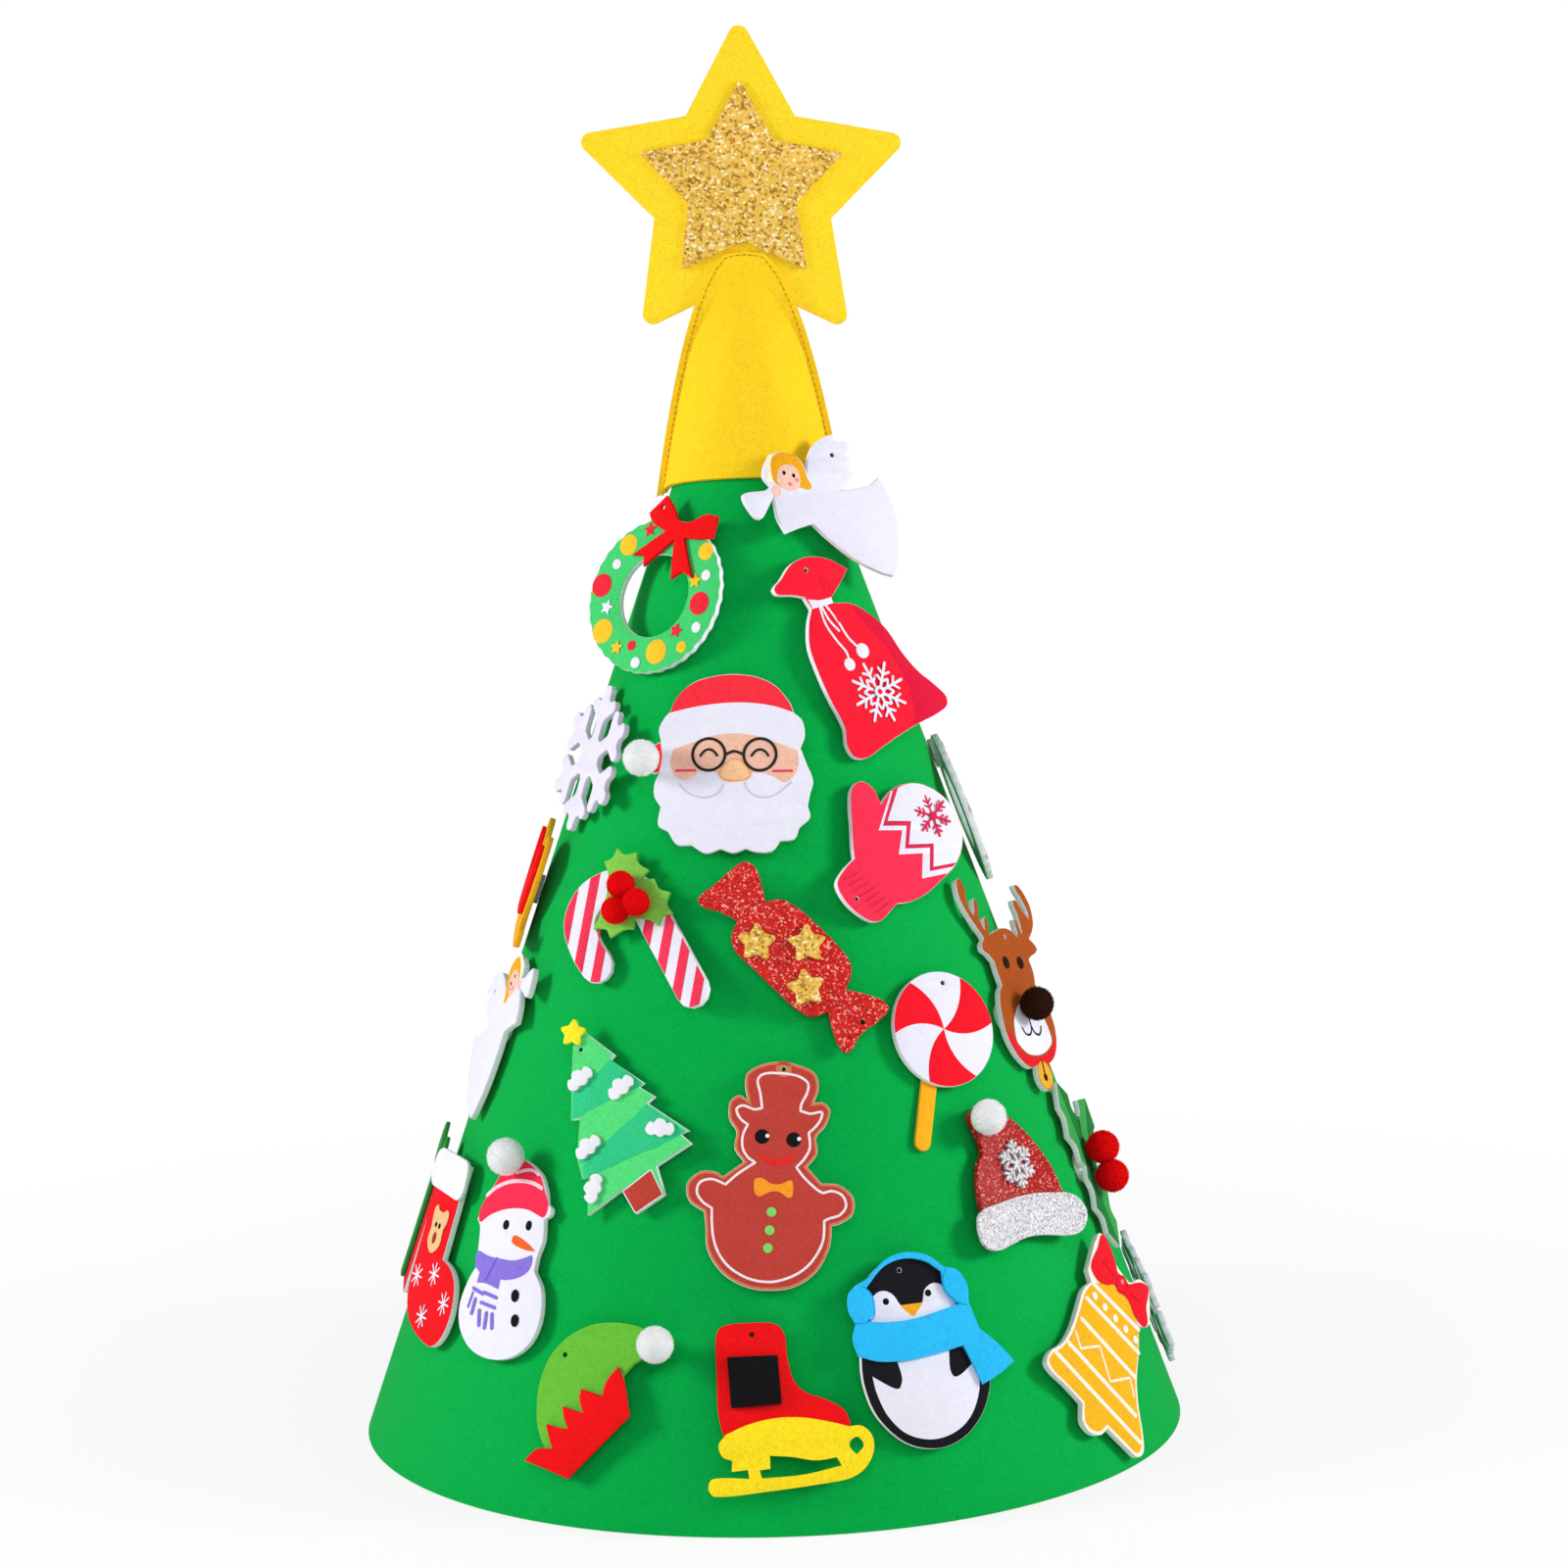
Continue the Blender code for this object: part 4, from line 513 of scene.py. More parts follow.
def glitter(name, dark, middle, bright, metal, grain=1250):
    """A bed of flakes, each with its own tilt and a tone at random from dark through middle to bright. The tones vary
    as real flakes do, and the pale bright stop is a painted glint of flakes turned to the light.
    """
    look, tree, shader = new_look(name)
    place = tree.nodes.new("ShaderNodeTexCoord")
    flakes = set_inputs(tree.nodes.new("ShaderNodeTexVoronoi"), Scale=grain)
    tone = tree.nodes.new("ShaderNodeSeparateColor")
    # Random flake tones; the last, palest stop is a painted glint.
    flake_tone_and_glint = ramp(tree, [(0.0, linear(dark)), (0.45, linear(middle)), (0.8, linear(middle)), (1.0, linear(bright))])
    bump = set_inputs(tree.nodes.new("ShaderNodeBump"), Strength=0.9, Distance=NAP_DEPTH)
    wire(tree, (place.outputs["Object"], flakes.inputs["Vector"]), (flakes.outputs["Color"], tone.inputs[0]),
         (tone.outputs[0], flake_tone_and_glint.inputs["Fac"]), (tone.outputs[1], bump.inputs["Height"]),
         (flake_tone_and_glint.outputs["Color"], shader.inputs["Base Color"]), (bump.outputs["Normal"], shader.inputs["Normal"]))
    set_inputs(shader, Metallic=metal, Roughness=0.5, Specular_IOR_Level=0.2)
    return look


def scattered(kind, size_label):
    """Copies of one tiny shape all over a surface, each turned and tilted its own way."""
    def build(tree, start):
        points = tree.nodes.new("GeometryNodeDistributePointsOnFaces")
        tiny = tree.nodes.new(kind)
        lean = tree.nodes.new("FunctionNodeRandomValue")
        lean.data_type = 'FLOAT_VECTOR'
        low = tree.nodes.new("ShaderNodeMath")
        low.operation = 'MULTIPLY'
        low.inputs[1].default_value = -1.0
        turn = tree.nodes.new("FunctionNodeRotateRotation")
        turn.rotation_space = 'LOCAL'
        size = tree.nodes.new("FunctionNodeRandomValue")
        size.inputs[2].default_value = SMALLEST_COPY
        size.inputs[3].default_value = 1.0
        copies = tree.nodes.new("GeometryNodeInstanceOnPoints")
        if kind == "GeometryNodeMeshCone":
            tiny.fill_type = 'NONE'
            tiny.inputs["Vertices"].default_value = 3
            tiny.inputs["Radius Top"].default_value = 0.0
            tree.links.new(start.outputs["width"], tiny.inputs["Radius Bottom"])
        else:
            tiny.fill_type = 'NGON'
            tiny.inputs["Vertices"].default_value = 6
        wire(tree, (start.outputs["Geometry"], points.inputs["Mesh"]),
             (start.outputs["density"], points.inputs["Density"]), (start.outputs["seed"], points.inputs["Seed"]),
             (start.outputs["size"], tiny.inputs[size_label]), (start.outputs["tilt"], low.inputs[0]),
             (low.outputs[0], lean.inputs[0]), (start.outputs["tilt"], lean.inputs[1]),
             (start.outputs["seed"], lean.inputs["Seed"]), (start.outputs["seed"], size.inputs["Seed"]),
             (points.outputs["Rotation"], turn.inputs["Rotation"]), (lean.outputs[0], turn.inputs["Rotate By"]),
             (points.outputs["Points"], copies.inputs["Points"]), (tiny.outputs["Mesh"], copies.inputs["Instance"]),
             (turn.outputs[0], copies.inputs["Rotation"]), (size.outputs[1], copies.inputs["Scale"]))
        return copies.outputs["Instances"]
    return build


def front_faces(outlines, level):
    """The front of a flat shape alone, for things strewn on it."""
    mesh = flat_shape(outlines, level - 0.2, level, 0.02, 0.35)
    shape = bmesh.new()
    shape.from_mesh(mesh)
    behind = [face for face in shape.faces if face.normal.z < 0.9]
    bmesh.ops.delete(shape, geom=behind, context='FACES')
    return written(shape, mesh)


def glittered(cutout, finish, outlines, back, front, edge, seed):
    """A plate of glitter felt, with loose flakes that stand up from its face."""
    cutout.cut(finish, outlines, back, front, edge)
    flakes = grow(front_faces(outlines, front + FLAKE_RISE), scattered("GeometryNodeMeshCircle", "Radius"),
                  density=FLAKE_DENSITY, seed=seed, size=FLAKE_SIZE, tilt=FLAKE_TILT, finish=finish)
    cutout.add_mesh(flakes, finish)


# Gold glitter: its pale cream last tone is a painted glint.
gold_glitter = glitter("gold glitter", "A06C1C", "F0C352", "FFF3C4", 0.2, 800)
glitter_star = Cutout(Matrix.Translation((0.0, 0.0, 0.0024)) @ star_frame)
glittered(glitter_star, gold_glitter, [slanted(star(0, 0, 52.8, 0.53, 1.0, STAR_LEAN))], 1.8, 3.0, 0.2, 3)
glitter_star.done("gold_glitter_star", "topper", "glitter_star")

# An ornament is a stamped plate of 3 mm felt, mostly white and printed on its front. Some have a punched
# hole near the top. A white hook dot behind each one grips the tree, and it sits square to the slope.
HOOK_DOT_RADIUS = 7.5
PLATE_BACK = 3.3
PLATE_FRONT = 6.3
TRIM_BACK = 6.6
TRIM_FRONT = 8.6
PRINT_FELT = 0.3
PRINT_LIP = 0.1
HOLE_RADIUS = 1.2
HOLE_SHADE_RADIUS = 1.3
HOLE_SIDES = 12
white_felt = felt("white felt", "ECEBF4", 1.0, 0.5)
white_print = felt("white print", "E9E8F6", 0.8, 0.4)
hook_white = hook_tape("white hook tape", "E8E8EC")
black_ink = felt("black print", "17161A", 0.6)
# Painted shadow: a dark green disc set inside each punched hole hides its white wall and stands for the shade in the
# hole.
hole_painted_shadow = felt("painted shadow in punched hole", "0A3A1C", 0.5)


def outline(*points):
    """A smooth closed line through points; a point with a third value is a sharp corner."""
    result = []
    count = len(points)
    for k in range(count):
        here, after = Vector(points[k][:2]), Vector(points[(k + 1) % count][:2])
        chord = after - here
        before, beyond = Vector(points[k - 1][:2]), Vector(points[(k + 2) % count][:2])
        length = max(chord.length, 1e-6)
        if len(points[k]) == 3:
            leave = chord
        else:
            leave = (after - before) / (length + (here - before).length) * length
        if len(points[(k + 1) % count]) == 3:
            arrive = chord
        else:
            arrive = (beyond - here) / (length + (beyond - after).length) * length
        steps = max(1, min(9, round(length / 0.9)))
        for step in range(steps):
            t = step / steps
            a, b = 2 * t ** 3 - 3 * t ** 2 + 1, t ** 3 - 2 * t ** 2 + t
            c, d = -2 * t ** 3 + 3 * t ** 2, t ** 3 - t ** 2
            result.append(tuple(here * a + leave * b + after * c + arrive * d))
    return result


def line(points, width, closed=False):
    """A drawn line of one width; an open one has round ends, a closed one gives two outlines."""
    if closed:
        path = outline(*points)
    else:
        path = outline(*points, *reversed(points[1:-1]))
        ends = [k for k, p in enumerate(path) if (Vector(p) - Vector(points[-1][:2])).length < 1e-6]
        path = path[:ends[0] + 1]
    count = len(path)
    left, right = [], []
    for k, place in enumerate(path):
        before = path[k - 1] if closed or k else place
        after = path[(k + 1) % count] if closed or k < count - 1 else place
        along = (Vector(after) - Vector(before)).normalized()
        across = Vector((-along.y, along.x)) * width / 2
        left.append(Vector(place) + across)
        right.append(Vector(place) - across)
    if closed:
        return [[tuple(p) for p in left], [tuple(p) for p in right]]

    def cap(place, arm):
        return [Vector(place) + Matrix.Rotation(-math.pi * k / 6, 2) @ arm for k in range(1, 6)]

    round_end = cap(path[-1], left[-1] - Vector(path[-1]))
    round_start = cap(path[0], right[0] - Vector(path[0]))
    return [tuple(p) for p in left + round_end + right[::-1] + round_start]


def clip(shape, x, y, angle):
    """What lies to the left of a straight line through a point."""
    along = Vector((math.cos(math.radians(angle)), math.sin(math.radians(angle))))
    across = Vector((-along.y, along.x))
    depths = [(Vector(p) - Vector((x, y))).dot(across) for p in shape]
    result = []
    for k, here in enumerate(shape):
        if depths[k - 1] * depths[k] < 0:
            share = depths[k - 1] / (depths[k - 1] - depths[k])
            result.append(tuple(Vector(shape[k - 1]).lerp(Vector(here), share)))
        if depths[k] >= 0:
            result.append(here)
    return result


def stripe(shape, x, y, angle, width):
    """A straight band across a shape, centred on a line through a point."""
    across = Vector((-math.sin(math.radians(angle)), math.cos(math.radians(angle)))) * width / 2
    return clip(clip(shape, x - across.x, y - across.y, angle), x + across.x, y + across.y, angle + 180)


def hung(azimuth, height_share, side, dot, stand_off=0.0, lean=0.0):
    """A drawing that lies on the slope, with its hook dot already in place behind it."""
    phi = math.radians(azimuth)
    height = height_share * APEX_HEIGHT
    outward = Vector((math.sin(phi), -math.cos(phi), 0.0))
    normal = outward * math.cos(SLOPE) + Vector((0.0, 0.0, math.sin(SLOPE)))
    spot = outward * cone_radius(height) + Vector((0.0, 0.0, height)) + normal * stand_off
    turn = Euler((math.pi / 2 - SLOPE, 0.0, phi)).to_matrix().to_4x4()
    spin = Matrix.Rotation(math.radians(lean), 4, 'Z')
    cutout = Cutout(Matrix.Translation(spot) @ turn @ Matrix.Scale(MM, 4) @ Matrix.Translation((side, 0.0,
                    0.0)) @ spin)
    place = spin.inverted() @ Vector((-side, dot, 0.0))
    cutout.cut(hook_white, [disc(place.x, place.y, HOOK_DOT_RADIUS)], 0.3, PLATE_BACK + 0.05, 0.2)
    return cutout


def punched(cutout, x, y):
    """A punched hole's outline, with a disc of painted shadow set about 1 mm down inside it: dark green standing for
    the shaded hole and the tree's felt seen through it.
    """
    cutout.cut(hole_painted_shadow, [disc(x, y, HOLE_SHADE_RADIUS, HOLE_SIDES)], PLATE_FRONT - 1.6, PLATE_FRONT - 1.0, 0.05)
    return disc(x, y, HOLE_RADIUS, HOLE_SIDES)


def stamped(cutout, shapes, print_look=None, hole=None):
    """The white base plate, its print and its punched hole."""
    holes = [punched(cutout, *hole)] if hole else []
    front = PLATE_FRONT - (PRINT_LIP if print_look else 0.0)
    cutout.cut(white_felt, shapes + holes, PLATE_BACK, front, 0.15 if print_look else 0.35)
    if print_look:
        cutout.cut(print_look, shapes + holes, PLATE_FRONT - PRINT_FELT, PLATE_FRONT, 0.1, 0.12)


def plate(cutout, finish, outlines, edge):
    """A plate of plain coloured felt."""
    cutout.cut(finish, outlines, PLATE_BACK, PLATE_FRONT, edge)


def trim(cutout, finish, outlines, edge):
    """Plain felt glued on the plate."""
    cutout.cut(finish, outlines, TRIM_BACK, TRIM_FRONT, edge)


def dots(cutout, look, radius, sides, *places):
    for x, y in places:
        cutout.ink(look, disc(x, y, radius, sides))


def strokes(cutout, look, width, *paths):
    for path in paths:
        cutout.ink(look, line(path, width))


# The wreath is a ring with a wavy rim, printed with baubles and stars on light green. A bow of plain red
# felt is glued over its top, and the two ribbon tails hang across the ring.
wreath_green = felt("wreath print", "45CC6F", 0.8)
bauble_yellow = felt("bauble yellow", "F6C42E", 0.8)
bauble_red = felt("bauble red", "F02A3C", 0.8)
red_felt = felt("red felt", "EE1318")
WREATH_SQUASH = 0.97
WREATH_PRINT_RISE = 3


def wavy_disc(x, y, radius, wave, waves):
    """A round a little wider than it is tall, with a waved rim."""
    result = []
    for k in range(6 * waves):
        angle = 2 * math.pi * k / (6 * waves)
        reach = radius + wave * math.cos(waves * angle)
        result.append((x + reach * math.cos(angle), y + WREATH_SQUASH * reach * math.sin(angle)))
    return result


def wreath_print(cutout, x, y):
    stamped(cutout, [wavy_disc(x, y, 40, 0.3, 34), disc(x, y, 21, 64)], wreath_green)
    for look, spots in (
            (bauble_yellow, ((-22, 22, 5.3), (27, 20, 4.4), (-28, -22, 6.2), (8, -31, 6.2), (23, -28, 2.9))),
            (bauble_red, ((-34, 1, 6), (29, -6, 5.8), (-8, -28.5, 2.6))),
            (white_print, ((-27, 12, 2.6), (30, 8, 2.7), (30, -18, 2.7), (-3.5, -37, 2.8)))):
        for left, up, radius in spots:
            cutout.ink(look, disc(left + x, up + y + WREATH_PRINT_RISE, radius, 24))
    for look, left, up, lean in ((bauble_red, -10, 30, 10), (bauble_red, 18, -20, -8), (bauble_yellow, 24, 5, 4),
                                 (bauble_yellow, -17, -30, 0), (white_print, -28, -10, -12)):
        cutout.ink(look, star(left + x, up + y + WREATH_PRINT_RISE, 4.3, 0.45, 0.3, lean))


wreath = hung(-38, 0.728, -10.8, 25.5)
wreath_print(wreath, -1, -3)
wreath.done("printed_wreath", "wreath_ornament", "wreath")
bow_outline = outline(
    (7, 35), (3, 41), (-3, 47, 1), (-12, 38, 1), (-9, 33.5), (0, 29, 1), (-18, 16.5, 1), (-10.5, 16.5, 1),
    (-9.5, 11, 1), (0, 19), (6.5, 25, 1), (9, 5, 1), (15, 9, 1), (22, 6, 1), (17, 16), (12.5, 26, 1),
    (20, 25.5), (30, 26, 1), (31, 37, 1), (24, 38), (14, 34))
trim(wreath, red_felt, [bow_outline, disc(-4, 41, 1.1, 12)], 0.35)
wreath.done("red_bow", "wreath_ornament", "wreath_bow")

# The angel is one white plate. Only its hair, face and hand are printed, and its wing has a feathered edge.
# One hangs off the cap's hem and the other, a mirror image, on the tree's left edge.
hair_gold = felt("hair print", "EDA81C", 0.7)
skin = felt("skin print", "F4C6B4", 0.6)
robe_white = felt("angel print", "E6E5F5", 0.8, 0.4)
cream = felt("cream print", "FBEFD2", 0.6)
rose = felt("rose print", "E88A84", 0.6)
angel_outline = (
    (12, 35.5, 1), (13, 31.5, 1), (18, 31.5), (20, 28.5), (16.5, 24.5, 1), (19.5, 21.5), (17, 17.5, 1),
    (19, 14.5), (15, 10.5, 1), (13, 7.5), (9, 6.5, 1), (20, 7.5), (28, 9), (33, 12, 1), (36.5, 4), (38.5, -9),
    (37.5, -20), (35, -30), (31, -38, 1), (24, -35.5), (12, -28.5), (0, -18), (-8, -9, 1), (-15, -10.5),
    (-23.5, -13, 1), (-26.5, -5), (-26.5, 6, 1), (-31, 0), (-35.5, -5), (-38.5, -4), (-42.5, 3), (-43, 7.5),
    (-40, 8.5), (-31, 9), (-27, 11, 1), (-30, 16), (-28, 22), (-24, 26.5), (-17, 28), (-10, 25), (-7, 20),
    (-6, 16.5, 1), (-4, 23.5), (0, 30), (6, 34))


def angel(cutout, flip):
    def drawn(*points):
        return outline(*[(p[0] * flip, *p[1:]) for p in points])

    stamped(cutout, [drawn(*angel_outline)], robe_white, (9.7 * flip, 25))
    cutout.ink(cream, drawn((-25, 27), (-27.8, 23), (-28, 17), (-29.3, 14.2), (-25, 12.8), (-23.5, 16), (-23, 25)))
    cutout.ink(hair_gold, drawn((-25, 13), (-25.5, 20), (-23.5, 25.5), (-18, 27.8), (-11, 25.5), (-7.5, 20),
                                (-6.5, 14), (-5, 9.5), (-7, 8), (-12, 9.5), (-20, 9.5)))
    cutout.ink(skin, drawn((-22.5, 17), (-20, 20.5), (-15.5, 21.5), (-11.5, 19), (-10.5, 14), (-12, 9.5), (-17, 8),
                           (-21, 9.5), (-23.5, 13)))
    cutout.ink(skin, drawn((-27.5, 9), (-25, 11), (-22.5, 9.5), (-23, 6), (-26, 5.5)))
    for x, y in ((-18.8, 17.2), (-13.8, 15.6)):
        cutout.ink(black_ink, oval(x * flip, y, 0.9, 1.1, 0, 16))
    cutout.ink(rose, drawn((-18, 11.6), (-16.4, 12.4), (-15.2, 11.2), (-16.4, 10.4)))
    cutout.ink(rose, disc(-12.3 * flip, 13.2, 0.9, 16))


high_angel = hung(28, 0.793, 13.0, 18.5, CAP_CLEARANCE + CAP_FELT + SEAT_GAP)
angel(high_angel, 1)
high_angel.done("printed_angel", "angel_ornament", "angel")
edge_angel = hung(-72, 0.362, 0.0, 0.0, 0.0, 40)
angel(edge_angel, -1)
edge_angel.done("printed_angel_left", "second_angel_ornament", "second_angel")

# The gift sack is one red printed plate. Its far side is printed darker, and a white tie, two cords with
# balls and a snowflake are printed on it.
sack_red = felt("sack print", "F81F36", 0.8)
sack_dark = felt("sack shade print", "E01C3E", 0.8)


def flake_lines(x, y, radius, width, lean=0.0, branches=((0.42, 0.26), (0.66, 0.26)), arms=6):
    """The bars of a printed snowflake, as separate lines."""
    bars = []
    for k in range(arms):
        angle = math.radians(lean + 360 / arms * k + 90)
        along = Vector((math.cos(angle), math.sin(angle)))
        centre = Vector((x, y))
        bars.append(line([tuple(centre + along * radius * 0.1), tuple(centre + along * radius)], width))
        for start, reach in branches:
            for side in (-1, 1):
                arm = Matrix.Rotation(side * math.pi / 3.4, 2) @ along
                foot = centre + along * radius * start
                bars.append(line([tuple(foot), tuple(foot + arm * radius * reach)], width * 0.85))
    return bars


sack = hung(36, 0.669, 11.3, 6.0)
sack_outline = outline(
    (-43.5, 37.5), (-38, 42), (-30, 49), (-20, 52), (-8, 50.5), (3, 44.5, 1), (-3, 38), (-11, 30.5, 1),
    (-10.5, 28, 1), (0, 27), (10, 21), (18, 12), (24, 0), (31, -10), (38, -16.5), (44.5, -23.5), (44, -28.5),
    (36, -32.5), (24, -36), (10, -41), (-2, -46), (-12, -50), (-19, -49), (-22, -43), (-21, -34), (-26, -18),
    (-29, -5), (-30.5, 7), (-28, 18), (-24, 26, 1), (-26.5, 32, 1), (-33, 33.5), (-42, 34.5))
stamped(sack, [sack_outline], sack_red, (-22, 45.5))
sack.ink(sack_dark, outline((0, 26.5, 1), (10, 20.8), (18, 12), (24, 0), (31, -10), (38, -16.5), (44, -23.5),
                            (43.5, -28.5), (36, -32.2), (21, -36.8, 1), (23.5, -26), (22.5, -15), (17.5, -1),
                            (10, 11), (3, 20)))
sack.ink(white_print, outline((-25, 30.8, 1), (-18, 30), (-11, 31, 1), (-10.5, 28, 1), (-16, 27), (-23.5, 26, 1)))
strokes(sack, white_print, 1.2, ((-19, 27), (-18, 18), (-13.5, 9), (-9.5, 3), (-9, -1)),
        ((-15.5, 27.5), (-10, 18), (-6.3, 10), (-1, 4)), ((-18, 27), (-15.5, 20), (-11, 14)))
sack.ink(white_print, disc(-9.3, -3.2, 3.2, 24))
sack.ink(white_print, disc(0.3, 2.9, 3.8, 24))
for bar in flake_lines(4, -18.5, 15.5, 1.5, 19, ((0.36, 0.24), (0.6, 0.26)), 8):
    sack.ink(white_print, bar)
sack.ink(white_print, disc(4, -18.5, 3.0, 20))
sack.ink(sack_red, disc(4, -18.5, 1.4, 16))
strokes(sack, sack_dark, 0.5, ((-14, 41), (-12.5, 34)), ((-9, 39), (-9.5, 34)), ((-24, 24), (-26, 14)),
        ((-13, 24), (-11, 18)))
sack.done("printed_gift_sack", "gift_sack_ornament", "gift_sack")

# Father Christmas is a printed face on one plate, with a real pompom sewn at the end of his cap.
# Round glasses, closed smiling eyes and a curly beard are all print.
santa_red = felt("santa cap print", "F93140", 0.8)
santa_skin = felt("santa skin print", "F0BCA6", 0.6)
nose_skin = felt("santa nose print", "F7C595", 0.6)
nose_line = felt("santa nose edge print", "EDA468", 0.6)
cheek_red = felt("cheek print", "E0475A", 0.6)
pale_line = felt("pale grey line", "C9C7D6", 0.5)
frame_ink = felt("glasses print", "2A2826", 0.5)
CORE_SHARE = 0.9
CORE_SWELL = 0.03
STRAND_SHARE = 0.17
STRAND_WIDTH = 0.16
STRAND_TILT = 0.75
STRAND_DENSITY = 5.5


def pompom(cutout, name, body, node, centres, radius, finish, level, seed):
    """A cut yarn ball: a soft core all covered in short strands."""
    for k, (x, y) in enumerate(centres):
        shape = bmesh.new()
        bmesh.ops.create_icosphere(shape, subdivisions=4, radius=radius * CORE_SHARE)
        for vert in shape.verts:
            swell = math.sin(vert.co.x * 3.1 + k) * math.sin(vert.co.y * 2.7) * math.sin(vert.co.z * 2.9 + seed)
            vert.co *= 1 + CORE_SWELL * swell
        core = written(shape, bpy.data.meshes.new("core"))
        strands = grow(core.copy(), scattered("GeometryNodeMeshCone", "Depth"), density=STRAND_DENSITY, seed=seed + k,
                       size=radius * STRAND_SHARE, width=STRAND_WIDTH, tilt=STRAND_TILT, finish=finish)
        seat = Matrix.Translation((x, y, level + radius))
        cutout.add_mesh(core, finish, seat)
        cutout.add_mesh(strands, finish, seat)
    cutout.done(name, body, node)


white_yarn = felt("white pompom yarn", "FFFFFF", 0.7, 0.1)
set_inputs(white_yarn.node_tree.nodes["Principled BSDF"], Subsurface_Weight=0.5, Subsurface_Scale=0.004)
santa = hung(-5, 0.589, -5.5, 0.0)
santa_outline = outline(
    (-29, 26, 1), (-25, 34), (-17, 41), (-6, 44), (3, 44.5), (13, 43), (22, 38.5), (29, 30), (31, 25, 1),
    (35, 21), (36, 14), (34, 8, 1), (37, 0), (40, -8), (38.5, -15), (37.5, -20, 1), (38.5, -26), (33.5, -31, 1),
    (31, -36.5), (24.5, -37.5, 1), (20, -42.5), (12, -42.5), (8, -41, 1), (2, -43), (-4, -41, 1), (-11, -43),
    (-18, -39, 1), (-25, -38.5), (-29.5, -32, 1), (-34, -29), (-33, -20, 1), (-36, -15), (-36, -9),
    (-33.5, -3, 1), (-37, -3.5), (-41, 2), (-39, 8), (-33, 12, 1), (-34, 18), (-31, 24))
stamped(santa, [santa_outline], white_print, (2, 38))
santa.ink(santa_red, outline((-28.8, 26, 1), (-25, 34), (-17, 40.7), (-6, 43.7), (3, 44.2), (13, 42.7), (22, 38.2),
                             (28.7, 30), (30.7, 25.2, 1), (21, 28.5), (9, 30.3), (-3, 30.3), (-16, 28.8)))
santa.ink(santa_red, outline((-33.2, 11.5, 1), (-38.5, 8), (-40.6, 2), (-37, -3.2), (-33.7, -3, 1), (-32.5, 4)))
santa.ink(santa_skin, outline((-27, 8, 1), (-18, 11), (-8, 14.3), (2, 15.3), (11, 14.3), (22, 10.7),
                              (32.5, 6.5, 1), (33.3, 0), (31, -6), (26.5, -9), (21, -6), (12, -4), (6, -8), (-2, -8),
                              (-7, -3.5), (-14.5, -3), (-17, -5.5), (-21, -7.3), (-25.5, -5.5), (-28, -1), (-28, 4)))
strokes(santa, cheek_red, 1.3, ((-25.5, -2.6), (-16.5, -2.6)), ((21, -3.5), (30, -3.5)))
strokes(santa, pale_line, 0.6, ((-24, -9), (-20.5, -13), (-16, -15.2), (-11, -16), (-6, -14.3), (-3.5, -11.5),
        (-3, -9.5)),
        ((7.5, -9), (9, -12.5), (12.5, -15.3), (18, -16.3), (24, -14), (28, -10.5), (30, -9)))
nose_outline = outline((2.5, 3.2), (-1.5, 1.2), (-4.6, -3), (-4.8, -5.6), (-2, -7.7), (3, -8.2), (8, -7.7),
                       (10.4, -5.5),
                       (9.2, -2), (6.6, 1.3))
santa.ink(nose_line, nose_outline)
santa.ink(nose_skin, nose_outline, inset=0.7)
for x, y in ((-9.9, 5.1), (14.7, 4.7)):
    santa.ink(frame_ink, disc(x, y, 8.5, 48), disc(x, y, 7.1, 48))
    santa.ink(frame_ink, line(((x - 4, y - 0.6), (x - 2.3, y + 1.6), (x, y + 2.5), (x + 2.3, y + 1.6),
              (x + 4, y - 0.6)), 1.2))
santa.ink(frame_ink, line(((-1.6, 4.9), (2.2, 6.5), (6.4, 4.9)), 1.3))
santa.done("printed_santa_face", "santa_ornament", "santa_face")
pompom(santa, "santa_cap_pompom", "santa_ornament", "santa_pompom", [(-41.5, 2)], 8.9, white_yarn, TRIM_BACK, 11)

# The snowflakes are plain white felt, cut to six arms with side branches and no print.


def snowflake_outline(radius):
    bar = 0.10 * radius
    root, crown = 0.52 * radius, 0.72 * radius
    lean = Vector((math.cos(math.pi / 3), math.sin(math.pi / 3))) * 0.30 * radius
    half = [Vector((bar / math.tan(math.pi / 6), bar)), Vector((root, bar)), Vector((root, bar)) + lean * 1.05,
            Vector((crown, bar)) + lean * 1.0, Vector((crown, bar)), Vector((radius, bar))]
    arm = [Vector((p.x, -p.y)) for p in half[1:]] + list(reversed(half))
    points = []
    for k in range(6):
        spin = Matrix.Rotation(math.pi / 2 + k * math.pi / 3, 2)
        points += [spin @ p for p in arm]
    return rounded(points, 0.085 * radius, 5)


snow_felt = felt("snowflake felt", "E4DFF2", 1.0, 0.5)
for azimuth, height_share, side, name in ((-66, 0.587, 2.2, "snowflake"), (95, 0.083, 0.0, "second_snowflake")):
    flake = hung(azimuth, height_share, side, 0.0)
    plate(flake, snow_felt, [snowflake_outline(37)], 0.35)
    flake.done(f"felt_{name}", f"{name}_ornament", name)

# The mitten is red print with a white back of the hand. Two zigzags run across it, a small snowflake
# sits in the white, and the cuff has ribs.
mitten_red = felt("mitten print", "FB3252", 0.8)
mitten_dark = felt("mitten rib print", "D62D52", 0.8)
mitten = hung(36, 0.509, 7.1, -2.0)
mitten_outline = outline(
    (-29, 1, 1), (-37, -4), (-42.5, -10), (-40.5, -18), (-35, -25), (-28, -30), (-22, -30.5), (-15, -26.5),
    (-10, -23.5, 1), (-2, -23.5), (8, -21), (20, -15), (30, -9), (37, 0), (39, 10), (37, 19), (31, 27),
    (22, 32.5), (13, 34), (3, 32), (-6, 25.5, 1), (-7.5, 32), (-12, 37), (-17, 37.5), (-21.5, 34), (-24, 27),
    (-26, 17), (-28, 8))
stamped(mitten, [mitten_outline], mitten_red, (-33, -18.5))
